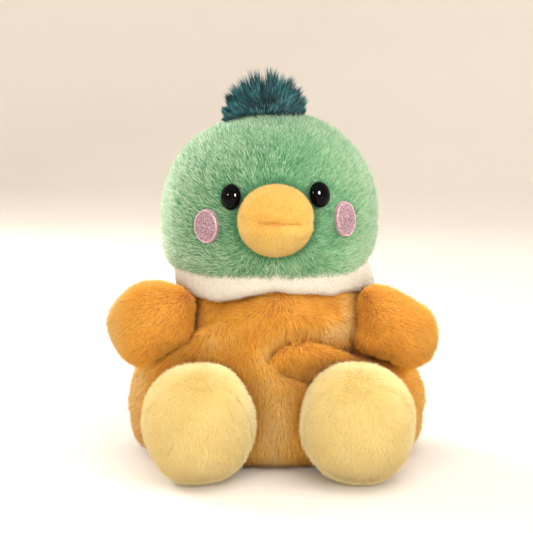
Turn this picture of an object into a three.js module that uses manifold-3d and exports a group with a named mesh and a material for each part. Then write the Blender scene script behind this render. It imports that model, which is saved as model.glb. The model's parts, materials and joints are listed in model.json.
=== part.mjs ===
// A small plush duck that sits on its base with both feet pushed forward.
// Millimetres, +Z up. The duck faces -Y, so its own left side is at +X.
// The origin is under the middle of the whole duck, on the surface that it sits on.

import * as THREE from "three";
import { mergeVertices } from "three/addons/utils/BufferGeometryUtils.js";
import Module from "manifold-3d";

const wasm = await Module();
wasm.setup();

// Fabric and clearances
const skin = 1.6; // plush fabric with its pile pressed flat
const gap = 0.3; // free space between any two pieces
const swingGap = 0.4; // and between the torso and a limb, which turns beside it
const roundCurve = 2; // section of a plain round form
const overrun = 8; // how far a cutter passes what it cuts
const facetSlack = 0.45; // extra room round the torso's upper part, for its flat facets
const flattening = 0.5; // how deep the seat and the soles are pressed flat
const slopeShare = 0.02; // of a form's front: the step over which its slope is measured

// Torso, a pear that is widest just above the seat
const torsoHalfWidth = 49.5;
const torsoFront = 28;
const torsoBack = 38;
const torsoRise = 40; // widest level to the top of the torso
const torsoDrop = 16.5; // widest level to the unpressed underside
const shoulderHalfWidth = 31;
const torsoCurves = { up: 1.9, down: 4.5, chest: 5, shoulder: 6 };
const blending = 6; // how sharply the shoulders stand out of the pear

// Creases of the slack belly fabric, as places across and up the front of the torso
const creaseDepth = 1.8;
const creaseHalfWidth = 3.2;
const creaseShares = [
  [[0.52, 0.7], [0.35, 0.73], [0.19, 0.755], [0.04, 0.73], [-0.03, 0.68], [-0.04, 0.64]],
  [[0.03, 0.6], [0.1, 0.564], [0.23, 0.5]],
  [[-0.5, 0.78], [-0.41, 0.82], [-0.32, 0.91]],
];

// Seat: the base panel and the pellets over it
const basePanelHalfWidth = 25;
const basePanelHalfDepth = 18;
const bagHalfWidth = 28;
const bagHalfDepth = 14;
const bagHeight = 15;
const bagWall = 0.8;
const bagMouth = 4; // radius of the filling slot in the bag's top
const bagForward = 3;

// Tail, a short wedge of the same fabric that points back and up
const tailHalfWidth = 11;
const tailHalfThickness = 6.5;
const tailLength = 17;
const tailRoot = 12; // how far the wedge starts inside the torso
const tailRise = 8; // over the torso's widest level
const tailTilt = 32;
const tailCurve = 1.7; // under 2 the form draws to an edge

// Neck and collar
const neckSpace = 5.4; // from the top of the torso to the underside of the head
const neckHalfWidth = 23;
const neckHalfDepth = 19;
const neckMouth = 0.7; // openings in the two skins, as a share of the neck
const collarHalfWidth = 32.6;
const collarHalfDepth = 28.6;
const collarDrop = 2.5; // how far the collar hangs over the torso's top
const collarOverlap = 3.1; // and how far it reaches up round the head's underside
const collarRoll = 4.5; // rounding of the collar's lower edge
const collarLip = 1.5; // and of its upper edge, under the head

// Head, broad and flat underneath
const headHalfWidth = 36.5;
const headFront = 31;
const headBack = 30;
const headRise = 36.1;
const headDrop = 15.6;
const headCurves = { up: 2.35, down: 4.6 };
const headRoll = -2.8; // the head leans to the duck's right
const headYaw = 3; // and turns to its left

// Bill, a ball with a stitched mouth line across it
const billHalfWidth = 11.7;
const billHalfHeight = 11.5;
const billFront = 11;
const billBack = 7;
const billCurve = 2.1;
const billRise = 3.4; // over the head's widest level
const mouthRadius = 0.4;
const mouthHalfWidth = 8.6;
const mouthDip = 0.9; // its middle lies this far under the bill's middle
const mouthRise = 0.5; // and its ends this far over its middle

// Eyes, domed plastic with a shank through the fabric and a washer behind it
const eyeHalfWidth = 3.35;
const eyeHalfHeight = 3.9;
const eyeDepth = 2.3;
const eyeAside = 13.7;
const eyeRise = 10.4; // over the head's widest level
const shankRadius = 1.4;
const shankLength = 7;
const washerRadius = 4;
const washerThickness = 1.2;
const washerDepth = 3.2; // from the face to the washer's front

// Cheeks, oval satin-edged patches
const cheekHalfWidth = 4.3;
const cheekHalfHeight = 5.35;
const cheekThickness = 0.9;
const cheekAside = 22.4;
const cheekRise = 2; // over the head's widest level

// Crest, a fan of long pile sewn into the crown: pointed locks over a low mound
const crestHalfWidth = 14.2;
const crestHalfDepth = 7;
const crestHeight = 14.3; // of the middle locks, over the crown
const crestRoot = 5; // how deep the pile starts inside the crown
const crestFan = 4; // sideways lean of the outermost lock
const locksPerRow = [5, 4];
const lockRadius = 5.2;
const lockTip = 1.3; // radius of a lock's blunt tip
const lockShortening = 7; // the outermost lock is this much lower
const rowShortening = 3; // and the rear row is this much lower again
const moundShare = 0.7; // height of the mound, as a share of the crest

// Wings, stubby balls sewn to the shoulders
const wingHalfWidth = 15;
const wingHalfDepth = 13;
const wingHalfHeight = 13.6;
const wingInset = 10.6; // its middle lies this far inside the torso's widest point
const wingSetback = 11; // and this far behind the torso's front
const wingDrop = 11.2; // and this far under the torso's top
const wingCurve = 2.2;

// Feet, balls sewn to the front of the seat, each with its own sole panel
const footHalfWidth = 17.9;
const footHalfDepth = 18;
const footHalfHeight = 18.9;
const footInset = 25.1; // its middle lies this far inside the torso's widest point
const footAhead = 7; // and this far before the torso's front
const footCurve = 2.15;
const soleStart = 8; // the sole panel starts this far before the foot's middle
const soleLean = 14; // and its seam leans back at the top by this angle

// Fineness of each layer: sides round the form and rings from pole to pole
const fine = { sides: 36, rings: 20 };
const medium = { sides: 26, rings: 14 };
const small = { sides: 18, rings: 10 };
const hidden = { sides: 12, rings: 7 };

const colours = {
  caramel: 0xe39e3b,
  green: 0x6fae7c,
  crest: 0x2f5d60,
  bill: 0xf7c66a,
  mouth: 0xb9772c,
  eye: 0x14100f,
  washer: 0xe8e6e0,
  cheek: 0xb98d9e,
  cream: 0xf3ebdd,
  foot: 0xf8d97f,
  fibre: 0xf4f2ee,
  bag: 0xd9d5cb,
  pellets: 0xc9cdd0,
};

const rad = THREE.MathUtils.degToRad;
const torsoWidestHeight = torsoDrop - flattening;
const torsoTop = torsoWidestHeight + torsoRise;
const headBottom = torsoTop + neckSpace;
const headWidestHeight = headBottom + headDrop;
const neckHeight = (torsoTop + headBottom) / 2; // the head leans about this level
const collarBottom = torsoTop - collarDrop;
const collarTop = headBottom + collarOverlap;

// Solids
function solid(geometry) {
  const bare = geometry.index ? geometry.toNonIndexed() : geometry.clone();
  bare.deleteAttribute("normal");
  bare.deleteAttribute("uv");
  const merged = mergeVertices(bare, 1e-4);
  return new wasm.Manifold(
    new wasm.Mesh({
      numProp: 3,
      vertProperties: new Float32Array(merged.attributes.position.array),
      triVerts: new Uint32Array(merged.index.array),
    }),
  );
}

function geometryOf(shape) {
  const { vertProperties, triVerts } = shape.getMesh();
  const geometry = new THREE.BufferGeometry();
  geometry.setAttribute("position", new THREE.BufferAttribute(vertProperties, 3));
  geometry.setIndex(new THREE.BufferAttribute(triVerts, 1));
  geometry.computeVertexNormals();
  return geometry;
}

function block(centre, size) {
  return new THREE.BoxGeometry(...size).translate(...centre);
}

// An upright column with an oval section.
function column(halfWidth, halfDepth, bottom, top, sides) {
  return new THREE.CylinderGeometry(1, 1, 1, sides)
    .rotateX(rad(90))
    .scale(halfWidth, halfDepth, top - bottom)
    .translate(0, 0, (top + bottom) / 2);
}

// Stuffed forms: each swells from its widest level and closes above and below it.
const closing = (share, curve) => Math.max(0, 1 - share ** curve) ** (1 / curve);

// The wider of two widths, rounded off where they are alike.
const broader = (a, b) => (a ** blending + b ** blending) ** (1 / blending);

function isInside(form, x, y, z) {
  const share = z >= 0 ? z / form.up : -z / form.down;
  if (share >= 1) return false;
  const curve = z >= 0 ? form.upCurve : form.downCurve;
  const frontCurve = z >= 0 ? (form.chestCurve ?? curve) : curve;
  let width = form.halfWidth * closing(share, curve);
  if (form.shoulder && z >= 0) {
    width = broader(width, form.shoulder * closing(share, form.shoulderCurve));
  }
  const depth = y < 0 ? form.front * closing(share, frontCurve) : form.back * closing(share, curve);
  return (x / width) ** 2 + (y / depth) ** 2 < 1;
}

// How far the form reaches from its middle along a unit direction.
function reach(form, direction) {
  let near = 0;
  let far = form.halfWidth + form.front + form.back + form.up + form.down;
  for (let step = 0; step < 40; step += 1) {
    const middle = (near + far) / 2;
    const { x, y, z } = direction.clone().multiplyScalar(middle);
    if (isInside(form, x, y, z)) near = middle;
    else far = middle;
  }
  return near;
}

// The form's closed surface, moved out by grow (or in, where grow is negative).
function surface(form, grow, { sides, rings }, dent = () => 0) {
  const positions = [];
  const index = [];
  const add = (direction) => {
    const bare = reach(form, direction);
    const place = direction.clone().multiplyScalar(bare).add(form.centre);
    const point = direction.clone().multiplyScalar(bare + grow - dent(place)).add(form.centre);
    positions.push(point.x, point.y, point.z);
  };
  add(new THREE.Vector3(0, 0, 1));
  for (let ring = 1; ring < rings; ring += 1) {
    const polar = (Math.PI * ring) / rings;
    for (let side = 0; side < sides; side += 1) {
      add(new THREE.Vector3().setFromSphericalCoords(1, polar, (2 * Math.PI * side) / sides).applyAxisAngle(
        new THREE.Vector3(1, 0, 0),
        rad(90),
      ));
    }
  }
  add(new THREE.Vector3(0, 0, -1));
  const last = positions.length / 3 - 1;
  const at = (ring, side) => 1 + (ring - 1) * sides + (side % sides);
  for (let side = 0; side < sides; side += 1) {
    index.push(0, at(1, side), at(1, side + 1));
    for (let ring = 1; ring < rings - 1; ring += 1) {
      index.push(at(ring, side), at(ring + 1, side), at(ring + 1, side + 1));
      index.push(at(ring, side), at(ring + 1, side + 1), at(ring, side + 1));
    }
    index.push(last, at(rings - 1, side + 1), at(rings - 1, side));
  }
  const geometry = new THREE.BufferGeometry();
  geometry.setAttribute("position", new THREE.Float32BufferAttribute(positions, 3));
  geometry.setIndex(index);
  return geometry;
}

// The front of a form at a place across and up it, with axes that lie on the fabric there.
function frontSeat(form, across, height) {
  const depthAt = (x, z) => {
    let near = 0;
    let far = form.front;
    for (let step = 0; step < 40; step += 1) {
      const middle = (near + far) / 2;
      if (isInside(form, x - form.centre.x, -middle, z - form.centre.z)) near = middle;
      else far = middle;
    }
    return form.centre.y - near;
  };
  const point = new THREE.Vector3(across, depthAt(across, height), height);
  const step = form.front * slopeShare;
  const slopeX = (depthAt(across + step, height) - depthAt(across - step, height)) / (2 * step);
  const slopeZ = (depthAt(across, height + step) - depthAt(across, height - step)) / (2 * step);
  const out = new THREE.Vector3(slopeX, -1, slopeZ).normalize();
  const side = new THREE.Vector3(0, 0, 1).cross(out).normalize();
  const up = out.clone().cross(side);
  return new THREE.Matrix4().makeBasis(side, up, out).setPosition(point);
}

const torso = {
  centre: new THREE.Vector3(0, 0, torsoWidestHeight),
  halfWidth: torsoHalfWidth,
  front: torsoFront,
  back: torsoBack,
  up: torsoRise,
  down: torsoDrop,
  upCurve: torsoCurves.up,
  downCurve: torsoCurves.down,
  chestCurve: torsoCurves.chest,
  shoulder: shoulderHalfWidth,
  shoulderCurve: torsoCurves.shoulder,
};

// The inside of the torso's skin, clear of the creases at the front.
const lining = {
  ...torso,
  halfWidth: torsoHalfWidth - skin,
  shoulder: shoulderHalfWidth - skin,
  front: torsoFront - skin - creaseDepth,
  back: torsoBack - skin,
  up: torsoRise - skin,
};

const head = {
  centre: new THREE.Vector3(0, 0, headWidestHeight),
  halfWidth: headHalfWidth,
  front: headFront,
  back: headBack,
  up: headRise,
  down: headDrop,
  upCurve: headCurves.up,
  downCurve: headCurves.down,
};

function ball(centre, halfWidth, front, back, halfHeight, curve) {
  return {
    centre,
    halfWidth,
    front,
    back,
    up: halfHeight,
    down: halfHeight,
    upCurve: curve,
    downCurve: curve,
  };
}

// The head's own pieces are made upright and lean together about the neck.
const headGroup = new THREE.Group();
headGroup.rotation.set(0, rad(headRoll), rad(headYaw), "ZYX");
headGroup.position.set(0, 0, neckHeight);
const headInner = new THREE.Group();
headInner.position.z = -neckHeight;
headGroup.add(headInner);
headGroup.updateMatrixWorld(true);
const leaning = headInner.matrixWorld.clone();

const floorCutter = (level) => {
  const span = 2 * (torsoHalfWidth + torsoFront + torsoBack);
  const depth = torsoDrop + footHalfHeight + overrun;
  return solid(block([0, 0, level - depth / 2], [span, span, depth]));
};
const torsoCutter = solid(surface(torso, gap, fine));
const limbCutter = solid(surface(torso, swingGap, fine));
const upperCutter = solid(surface(torso, gap + facetSlack, medium)); // coarser, for the neck
const headCutter = solid(surface(head, gap, medium));
const leaningHeadCutter = solid(surface(head, gap, medium).applyMatrix4(leaning));

function piece(name, shape, colour, roughness = 1) {
  const material = new THREE.MeshStandardMaterial({ color: colour, roughness, metalness: 0 });
  const mesh = new THREE.Mesh(geometryOf(shape), material);
  mesh.name = name;
  return mesh;
}

// Distance of a place on the belly from the nearest crease, in millimetres.
function creaseDistance(place) {
  let least = Infinity;
  for (const crease of creaseShares) {
    for (let i = 1; i < crease.length; i += 1) {
      const [from, to] = [crease[i - 1], crease[i]].map(
        ([across, up]) => new THREE.Vector3(across * torsoHalfWidth, 0, up * torsoTop),
      );
      const flat = new THREE.Vector3(place.x, 0, place.z);
      const near = new THREE.Line3(from, to).closestPointToPoint(flat, true, new THREE.Vector3());
      least = Math.min(least, near.distanceTo(flat));
    }
  }
  return least;
}

function bellyDent(place) {
  if (place.y > 0) return 0;
  return creaseDepth * Math.exp(-((creaseDistance(place) / creaseHalfWidth) ** 2));
}

// Torso
function makeTorso() {
  const group = new THREE.Group();
  const outer = solid(surface(torso, 0, fine, bellyDent)).subtract(floorCutter(0));
  const hollow = solid(surface(lining, 0, small)).subtract(floorCutter(skin));
  const mouth = solid(
    column(neckHalfWidth * neckMouth, neckHalfDepth * neckMouth, torsoTop - overrun, torsoTop + overrun,
      small.sides),
  );
  const shell = outer.subtract(hollow).subtract(mouth);
  const panel = (grow) =>
    solid(column(basePanelHalfWidth + grow, basePanelHalfDepth + grow, -overrun, overrun, small.sides));
  const slab = solid(
    block([0, 0, 0], [2 * torsoHalfWidth, 2 * torsoBack, 2 * (skin - gap)]),
  );
  group.add(piece("body_skin", shell.subtract(panel(gap)), colours.caramel));
  group.add(piece("base_panel", shell.intersect(panel(0)).intersect(slab), colours.caramel));

  const bag = (grow) => {
    const form = ball(
      new THREE.Vector3(0, bagForward, skin + gap),
      bagHalfWidth,
      bagHalfDepth,
      bagHalfDepth,
      bagHeight,
      roundCurve,
    );
    return solid(surface(form, grow, hidden));
  };
  const fibre = solid(surface(lining, -gap, small)).subtract(floorCutter(skin + gap));
  group.add(piece("body_stuffing", fibre.subtract(bag(gap)), colours.fibre));

  const slot = solid(column(bagMouth, bagMouth, skin, skin + bagHeight + overrun, hidden.sides).translate(
    0,
    bagForward,
    0,
  ));
  const bagFloor = skin + gap;
  const bagShell = bag(0)
    .subtract(floorCutter(bagFloor))
    .subtract(bag(-bagWall).subtract(floorCutter(bagFloor + bagWall)))
    .subtract(slot);
  group.add(piece("pellet_bag", bagShell, colours.bag));
  const fill = bag(-bagWall - gap).subtract(floorCutter(bagFloor + bagWall + gap));
  group.add(piece("pellet_fill", fill, colours.pellets, 0.6));

  const wedge = ball(
    new THREE.Vector3(0, 0, 0),
    tailHalfWidth,
    tailRoot,
    tailLength,
    tailHalfThickness,
    tailCurve,
  );
  const tail = (grow) =>
    solid(
      surface(wedge, grow, small)
        .rotateX(rad(tailTilt))
        .translate(0, torsoBack - tailRoot / 2, torsoWidestHeight + tailRise),
    );
  group.add(piece("tail_skin", tail(0).subtract(tail(-skin)).subtract(torsoCutter), colours.caramel));
  group.add(piece("tail_stuffing", tail(-skin - gap).subtract(torsoCutter), colours.fibre));
  return group;
}

// Neck: a plug of fibre between the torso and the head, inside a soft collar
function makeNeck() {
  const group = new THREE.Group();
  const plug = solid(
    column(neckHalfWidth, neckHalfDepth, neckHeight - overrun, neckHeight + overrun, small.sides),
  )
    .subtract(upperCutter)
    .subtract(leaningHeadCutter);
  group.add(piece("neck_stuffing", plug, colours.fibre));

  const ring = solid(
    new THREE.LatheGeometry(collarProfile(), medium.sides)
      .rotateX(rad(90))
      .scale(1, collarHalfDepth / collarHalfWidth, 1),
  );
  const inside = column(neckHalfWidth + gap, neckHalfDepth + gap, collarBottom - overrun, collarTop + overrun,
    small.sides);
  group.add(
    piece(
      "collar_band",
      ring.subtract(solid(inside)).subtract(upperCutter).subtract(leaningHeadCutter),
      colours.cream,
    ),
  );
  return group;
}

// Half of the collar's section, from its inner edge out to its rounded face.
function collarProfile() {
  const inner = Math.min(neckHalfWidth, neckHalfDepth) / 2;
  const outer = collarHalfWidth;
  const curve = new THREE.Shape();
  curve.moveTo(inner, collarBottom);
  curve.lineTo(outer - collarRoll, collarBottom);
  curve.absarc(outer - collarRoll, collarBottom + collarRoll, collarRoll, -Math.PI / 2, 0, false);
  curve.absarc(outer - collarLip, collarTop - collarLip, collarLip, 0, Math.PI / 2, false);
  curve.lineTo(inner, collarTop);
  const points = curve.getPoints(2);
  return [...points, points[0].clone()];
}

// Head
function makeHead() {
  const outer = solid(surface(head, 0, medium));
  const hollow = solid(surface(head, -skin, small));
  const mouth = solid(
    column(neckHalfWidth * neckMouth, neckHalfDepth * neckMouth, headWidestHeight - headDrop - overrun,
      headWidestHeight - headDrop + skin + overrun, small.sides),
  );
  const fibre = solid(surface(head, -skin - gap, small));
  let shell = outer.subtract(hollow).subtract(mouth);
  let stuffing = fibre;

  for (const [name, side] of [["left", 1], ["right", -1]]) {
    const eyeSeat = frontSeat(head, side * eyeAside, headWidestHeight + eyeRise);
    const rod = (radius, from, to) =>
      solid(column(radius, radius, from, to, small.sides).applyMatrix4(eyeSeat));
    const dome = new THREE.SphereGeometry(1, small.sides, hidden.rings)
      .scale(eyeHalfWidth, eyeHalfHeight, eyeDepth)
      .applyMatrix4(eyeSeat);
    const eye = solid(dome).subtract(headCutter).add(rod(shankRadius, -shankLength, eyeDepth / 2));
    headInner.add(piece(name + "_eye", eye, colours.eye, 0.08));
    const washer = rod(washerRadius, -washerDepth - washerThickness, -washerDepth)
      .subtract(rod(shankRadius + gap, -shankLength - overrun, overrun));
    headInner.add(piece(name + "_eye_washer", washer, colours.washer, 0.4));
    shell = shell.subtract(rod(shankRadius + gap, -washerDepth - overrun, overrun));
    stuffing = stuffing
      .subtract(rod(washerRadius + gap, -washerDepth - washerThickness - gap, overrun))
      .subtract(rod(shankRadius + gap, -shankLength - gap, overrun));

    const cheekSeat = frontSeat(head, side * cheekAside, headWidestHeight + cheekRise);
    const oval = solid(
      column(cheekHalfWidth, cheekHalfHeight, -overrun, overrun, small.sides).applyMatrix4(cheekSeat),
    );
    const layer = solid(surface(head, gap + cheekThickness, medium)).subtract(headCutter);
    headInner.add(piece(name + "_cheek", layer.intersect(oval), colours.cheek, 0.8));
  }
  headInner.add(piece("head_skin", shell, colours.green));
  headInner.add(piece("head_stuffing", stuffing, colours.fibre));
  addBill();
  headInner.add(piece("crest_tuft", makeCrest(), colours.crest));
}

function addBill() {
  const billHeight = headWidestHeight + billRise;
  const face = frontSeat(head, 0, billHeight).elements[13];
  const form = ball(
    new THREE.Vector3(0, face, billHeight),
    billHalfWidth,
    billFront,
    billBack,
    billHalfHeight,
    billCurve,
  );
  const outer = solid(surface(form, 0, small));
  const hollow = solid(surface(form, -skin, hidden));
  headInner.add(piece("beak_skin", outer.subtract(hollow).subtract(headCutter), colours.bill));
  const fibre = solid(surface(form, -skin - gap, hidden)).subtract(headCutter);
  headInner.add(piece("beak_stuffing", fibre, colours.fibre));

  const stitches = 8;
  const points = [];
  for (let i = 0; i <= stitches; i += 1) {
    const across = (2 * i) / stitches - 1;
    const x = across * mouthHalfWidth;
    const z = billHeight - mouthDip + mouthRise * across ** 2;
    const seat = new THREE.Vector3().setFromMatrixPosition(frontSeat(form, x, z));
    const out = seat.clone().sub(form.centre).normalize();
    points.push(seat.addScaledVector(out, gap + mouthRadius));
  }
  const section = new THREE.Shape().absarc(0, 0, mouthRadius, 0, 2 * Math.PI, false);
  const thread = new THREE.ExtrudeGeometry(section, {
    steps: 2 * stitches,
    extrudePath: new THREE.CatmullRomCurve3(points),
    curveSegments: 3,
    bevelEnabled: false,
  });
  headInner.add(piece("mouth_thread", solid(thread), colours.mouth));
}

// Tapered locks that lean outwards from a mound of pile.
function makeCrest() {
  const root = headWidestHeight + headRise - crestRoot;
  const height = crestRoot + crestHeight;
  const mound = ball(
    new THREE.Vector3(0, 0, root),
    crestHalfWidth,
    crestHalfDepth,
    crestHalfDepth,
    height * moundShare,
    roundCurve,
  );
  let crest = solid(surface(mound, 0, hidden));
  locksPerRow.forEach((locks, row) => {
    for (let i = 0; i < locks; i += 1) {
      const across = locks > 1 ? ((2 * i) / (locks - 1) - 1) * (1 - row / locks) : 0;
      const tall = height - lockShortening * across ** 2 - rowShortening * row;
      const lock = new THREE.CylinderGeometry(lockTip, lockRadius, tall, hidden.rings)
        .rotateX(rad(90))
        .translate(0, 0, tall / 2);
      const lean = new THREE.Matrix4().set(
        1, 0, (across * crestFan) / tall, across * (crestHalfWidth - lockRadius),
        0, 1, 0, (row - 1 / 2) * (crestHalfDepth - lockRadius / 2),
        0, 0, 1, root,
        0, 0, 0, 1,
      );
      crest = crest.add(solid(lock.applyMatrix4(lean)));
    }
  });
  return crest.subtract(headCutter);
}

// Limbs: a stuffed ball whose open end is sewn to the torso
function makeWing(name, side) {
  const centre = new THREE.Vector3(
    side * (torsoHalfWidth - wingInset),
    wingSetback - torsoFront,
    torsoTop - wingDrop,
  );
  const form = ball(centre, wingHalfWidth, wingHalfDepth, wingHalfDepth, wingHalfHeight, wingCurve);
  const group = new THREE.Group();
  const shell = solid(surface(form, 0, small)).subtract(solid(surface(form, -skin, hidden)));
  group.add(piece(name + "_wing_skin", shell.subtract(limbCutter), colours.caramel));
  const fibre = solid(surface(form, -skin - gap, hidden)).subtract(limbCutter);
  group.add(piece(name + "_wing_stuffing", fibre, colours.fibre));
  return group;
}

function makeFoot(name, side) {
  const centre = new THREE.Vector3(
    side * (torsoHalfWidth - footInset),
    -torsoFront - footAhead,
    footHalfHeight - flattening,
  );
  const form = ball(centre, footHalfWidth, footHalfDepth, footHalfDepth, footHalfHeight, footCurve);
  const group = new THREE.Group();
  const shell = solid(surface(form, 0, medium))
    .subtract(floorCutter(0))
    .subtract(solid(surface(form, -skin, hidden)).subtract(floorCutter(skin)))
    .subtract(limbCutter);
  const sole = (grow) => {
    const span = 2 * (footHalfWidth + footHalfHeight + overrun);
    const start = soleStart - grow;
    const half = new THREE.BoxGeometry(span, span, span)
      .translate(0, -span / 2 - start, 0)
      .rotateX(rad(-soleLean))
      .translate(centre.x, centre.y, centre.z);
    return solid(half);
  };
  group.add(piece(name + "_foot_skin", shell.subtract(sole(gap)), colours.foot));
  group.add(piece(name + "_foot_sole", shell.intersect(sole(0)), colours.foot));
  const fibre = solid(surface(form, -skin - gap, hidden))
    .subtract(floorCutter(skin + gap))
    .subtract(limbCutter);
  group.add(piece(name + "_foot_stuffing", fibre, colours.fibre));
  return group;
}

const sewn = new THREE.Group();
sewn.add(makeTorso(), makeNeck());
makeHead();
sewn.add(headGroup);
for (const [name, side] of [["left", 1], ["right", -1]]) {
  sewn.add(makeWing(name, side), makeFoot(name, side));
}

// The duck is moved so that its middle stands over the origin.
const reachOfAll = new THREE.Box3().setFromObject(sewn);
const middle = reachOfAll.getCenter(new THREE.Vector3());
sewn.position.set(-middle.x, -middle.y, -reachOfAll.min.z);

const duck = new THREE.Group();
duck.add(sewn);
export default duck;
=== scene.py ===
# A small plush duck that sits on its base with both feet pushed forward.
# Metres, +Z up. The duck faces -Y, so its own left side is at +X.

import json
import math

import bmesh
import bpy
import numpy as np
from mathutils import Matrix, Vector


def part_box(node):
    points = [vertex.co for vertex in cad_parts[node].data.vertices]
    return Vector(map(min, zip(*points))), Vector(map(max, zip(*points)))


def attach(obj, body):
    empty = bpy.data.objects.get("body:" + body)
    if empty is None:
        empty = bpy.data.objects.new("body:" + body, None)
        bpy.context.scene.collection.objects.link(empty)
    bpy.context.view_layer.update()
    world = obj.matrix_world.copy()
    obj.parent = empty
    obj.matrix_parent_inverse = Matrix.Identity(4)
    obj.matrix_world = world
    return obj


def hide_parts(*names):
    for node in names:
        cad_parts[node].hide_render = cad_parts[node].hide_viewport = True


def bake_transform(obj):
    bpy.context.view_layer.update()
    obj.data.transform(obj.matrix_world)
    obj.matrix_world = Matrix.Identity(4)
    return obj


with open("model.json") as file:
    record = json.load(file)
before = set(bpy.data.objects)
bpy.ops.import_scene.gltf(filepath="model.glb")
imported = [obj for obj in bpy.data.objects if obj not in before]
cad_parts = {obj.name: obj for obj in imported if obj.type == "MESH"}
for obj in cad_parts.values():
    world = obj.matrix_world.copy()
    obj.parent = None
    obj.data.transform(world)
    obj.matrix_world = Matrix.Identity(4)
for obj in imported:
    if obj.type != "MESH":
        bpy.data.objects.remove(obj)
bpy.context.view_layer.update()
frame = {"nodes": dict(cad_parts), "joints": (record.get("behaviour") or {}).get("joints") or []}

mm = 0.001
SIDES = [(1, "left"), (-1, "right")]
TORSO_BACK = 38 * mm
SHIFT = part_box("body_skin")[1].y - TORSO_BACK  # the torso's middle lies this far behind the origin

# Stuffed forms
# Every part of the duck is a fabric bag filled with fibre. It swells from its widest level and closes
# above and below it, so one rule gives the torso, head, bill, wings, feet and tail their shapes.


def closing(share, curve):
    """How wide a form still is at a share of its height."""
    return np.maximum(0, 1 - share**curve) ** (1 / curve)


def is_inside(form, p):
    """Whether places, measured from the form's middle, lie inside it."""
    x, y, z = p[:, 0], p[:, 1], p[:, 2]
    up = z >= 0
    share = np.abs(z) / np.where(up, form["up"], form["down"])
    curve = np.where(up, form["up_curve"], form["down_curve"])
    front_curve = np.where(up, form.get("chest_curve", form["up_curve"]), form["down_curve"])
    width = form["half_width"] * closing(share, curve)
    if "shoulder" in form:
        sharp = form["blending"]
        shoulder = form["shoulder"] * closing(share, form["shoulder_curve"])
        width = np.where(up, (width**sharp + shoulder**sharp) ** (1 / sharp), width)
    depth = np.where(y < 0, form["front"] * closing(share, front_curve), form["back"] * closing(share, curve))
    with np.errstate(divide="ignore", invalid="ignore"):
        return (share < 1) & ((x / width) ** 2 + (y / depth) ** 2 < 1)


def farthest(is_in, near, far, halvings):
    """The largest distance between near and far that still is in the form."""
    for _ in range(halvings):
        middle = (near + far) / 2
        inside = is_in(middle)
        near, far = np.where(inside, middle, near), np.where(inside, far, middle)
    return near


def reach(form, directions):
    """How far the form reaches from its middle along each unit direction."""
    near = np.zeros(len(directions))
    far = near + form["half_width"] + form["front"] + form["back"] + form["up"] + form["down"]
    return farthest(lambda r: is_inside(form, directions * r[:, None]), near, far, halvings=36)


def is_buried(form, p, depth):
    """Whether places lie inside the form by at least a depth."""
    smaller = {**form}
    for key in {"half_width", "front", "back", "up", "down", "shoulder"} & set(form):
        smaller[key] = form[key] - depth
    return is_inside(smaller, p - form["centre"])


def ball(centre, half_width, front, back, half_height, curve):
    sizes = {"half_width": half_width, "front": front, "back": back, "up": half_height, "down": half_height}
    return {"centre": np.array(centre), **sizes, "up_curve": curve, "down_curve": curve}


def carried(p, matrix):
    """Places moved by a matrix."""
    return p @ np.array(matrix.to_3x3()).T + np.array(matrix.translation)


def make_object(name, mesh):
    obj = bpy.data.objects.new(name, mesh)
    bpy.context.scene.collection.objects.link(obj)
    return obj


def make_mesh(name, verts, faces):
    mesh = bpy.data.meshes.new(name)
    mesh.from_pydata([tuple(v) for v in verts], [], faces)
    mesh.shade_smooth()
    return make_object(name, mesh)


def band_faces(rings, sides, first=0, flipped=False, closed=False):
    """The faces between rings of points. closed joins the last ring to the first one."""
    faces = []
    for ring in range(rings if closed else rings - 1):
        here, there = first + ring * sides, first + (ring + 1) % rings * sides
        for i in range(sides):
            j = (i + 1) % sides
            face = (here + i, here + j, there + j, there + i)
            faces.append((face[0], *face[:0:-1]) if flipped else face)
    return faces


def fan_faces(hub, first, sides, flipped=False):
    """The triangles between a middle point and the ring round it."""
    fan = [(hub, first + i, first + (i + 1) % sides) for i in range(sides)]
    return [(a, c, b) for a, b, c in fan] if flipped else fan


def swell(name, form, grow, fineness=6, shape=None, floor=None, carry=None):
    """A mesh of the form, moved out by grow. shape moves its points further, and floor presses it flat."""
    mesh = bpy.data.meshes.new(name)
    sphere = bmesh.new()
    bmesh.ops.create_icosphere(sphere, subdivisions=fineness, radius=1)
    sphere.to_mesh(mesh)
    sphere.free()
    d = np.zeros(len(mesh.vertices) * 3)
    mesh.vertices.foreach_get("co", d)
    d = unit(d.reshape(-1, 3))
    p = d * (reach(form, d) + grow)[:, None] + form["centre"]
    if shape:
        p = shape(p, d)
    if floor is not None:
        p[:, 2] = np.maximum(p[:, 2], floor)
    if carry:
        p = carried(p, carry)
    mesh.vertices.foreach_set("co", p.ravel())
    mesh.update()
    mesh.shade_smooth()
    return make_object(name, mesh)


def places(obj):
    p = np.zeros(len(obj.data.vertices) * 3)
    obj.data.vertices.foreach_get("co", p)
    return p.reshape(-1, 3)


def across_and_up(p, level=0):
    """In millimetres, and up from a level."""
    return p[:, 0] / mm, (p[:, 2] - level) / mm


def normals(obj):
    n = np.zeros(len(obj.data.vertices) * 3)
    obj.data.vertex_normals.foreach_get("vector", n)
    return n.reshape(-1, 3)


def smoothstep(low, high, x):
    t = np.clip((x - low) / (high - low), 0, 1)
    return t * t * (3 - 2 * t)


def bell(x, half_width):
    return np.exp(-((x / half_width) ** 2))


def unit(v):
    return v / np.maximum(np.linalg.norm(v, axis=1), 1e-9)[:, None]


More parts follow.
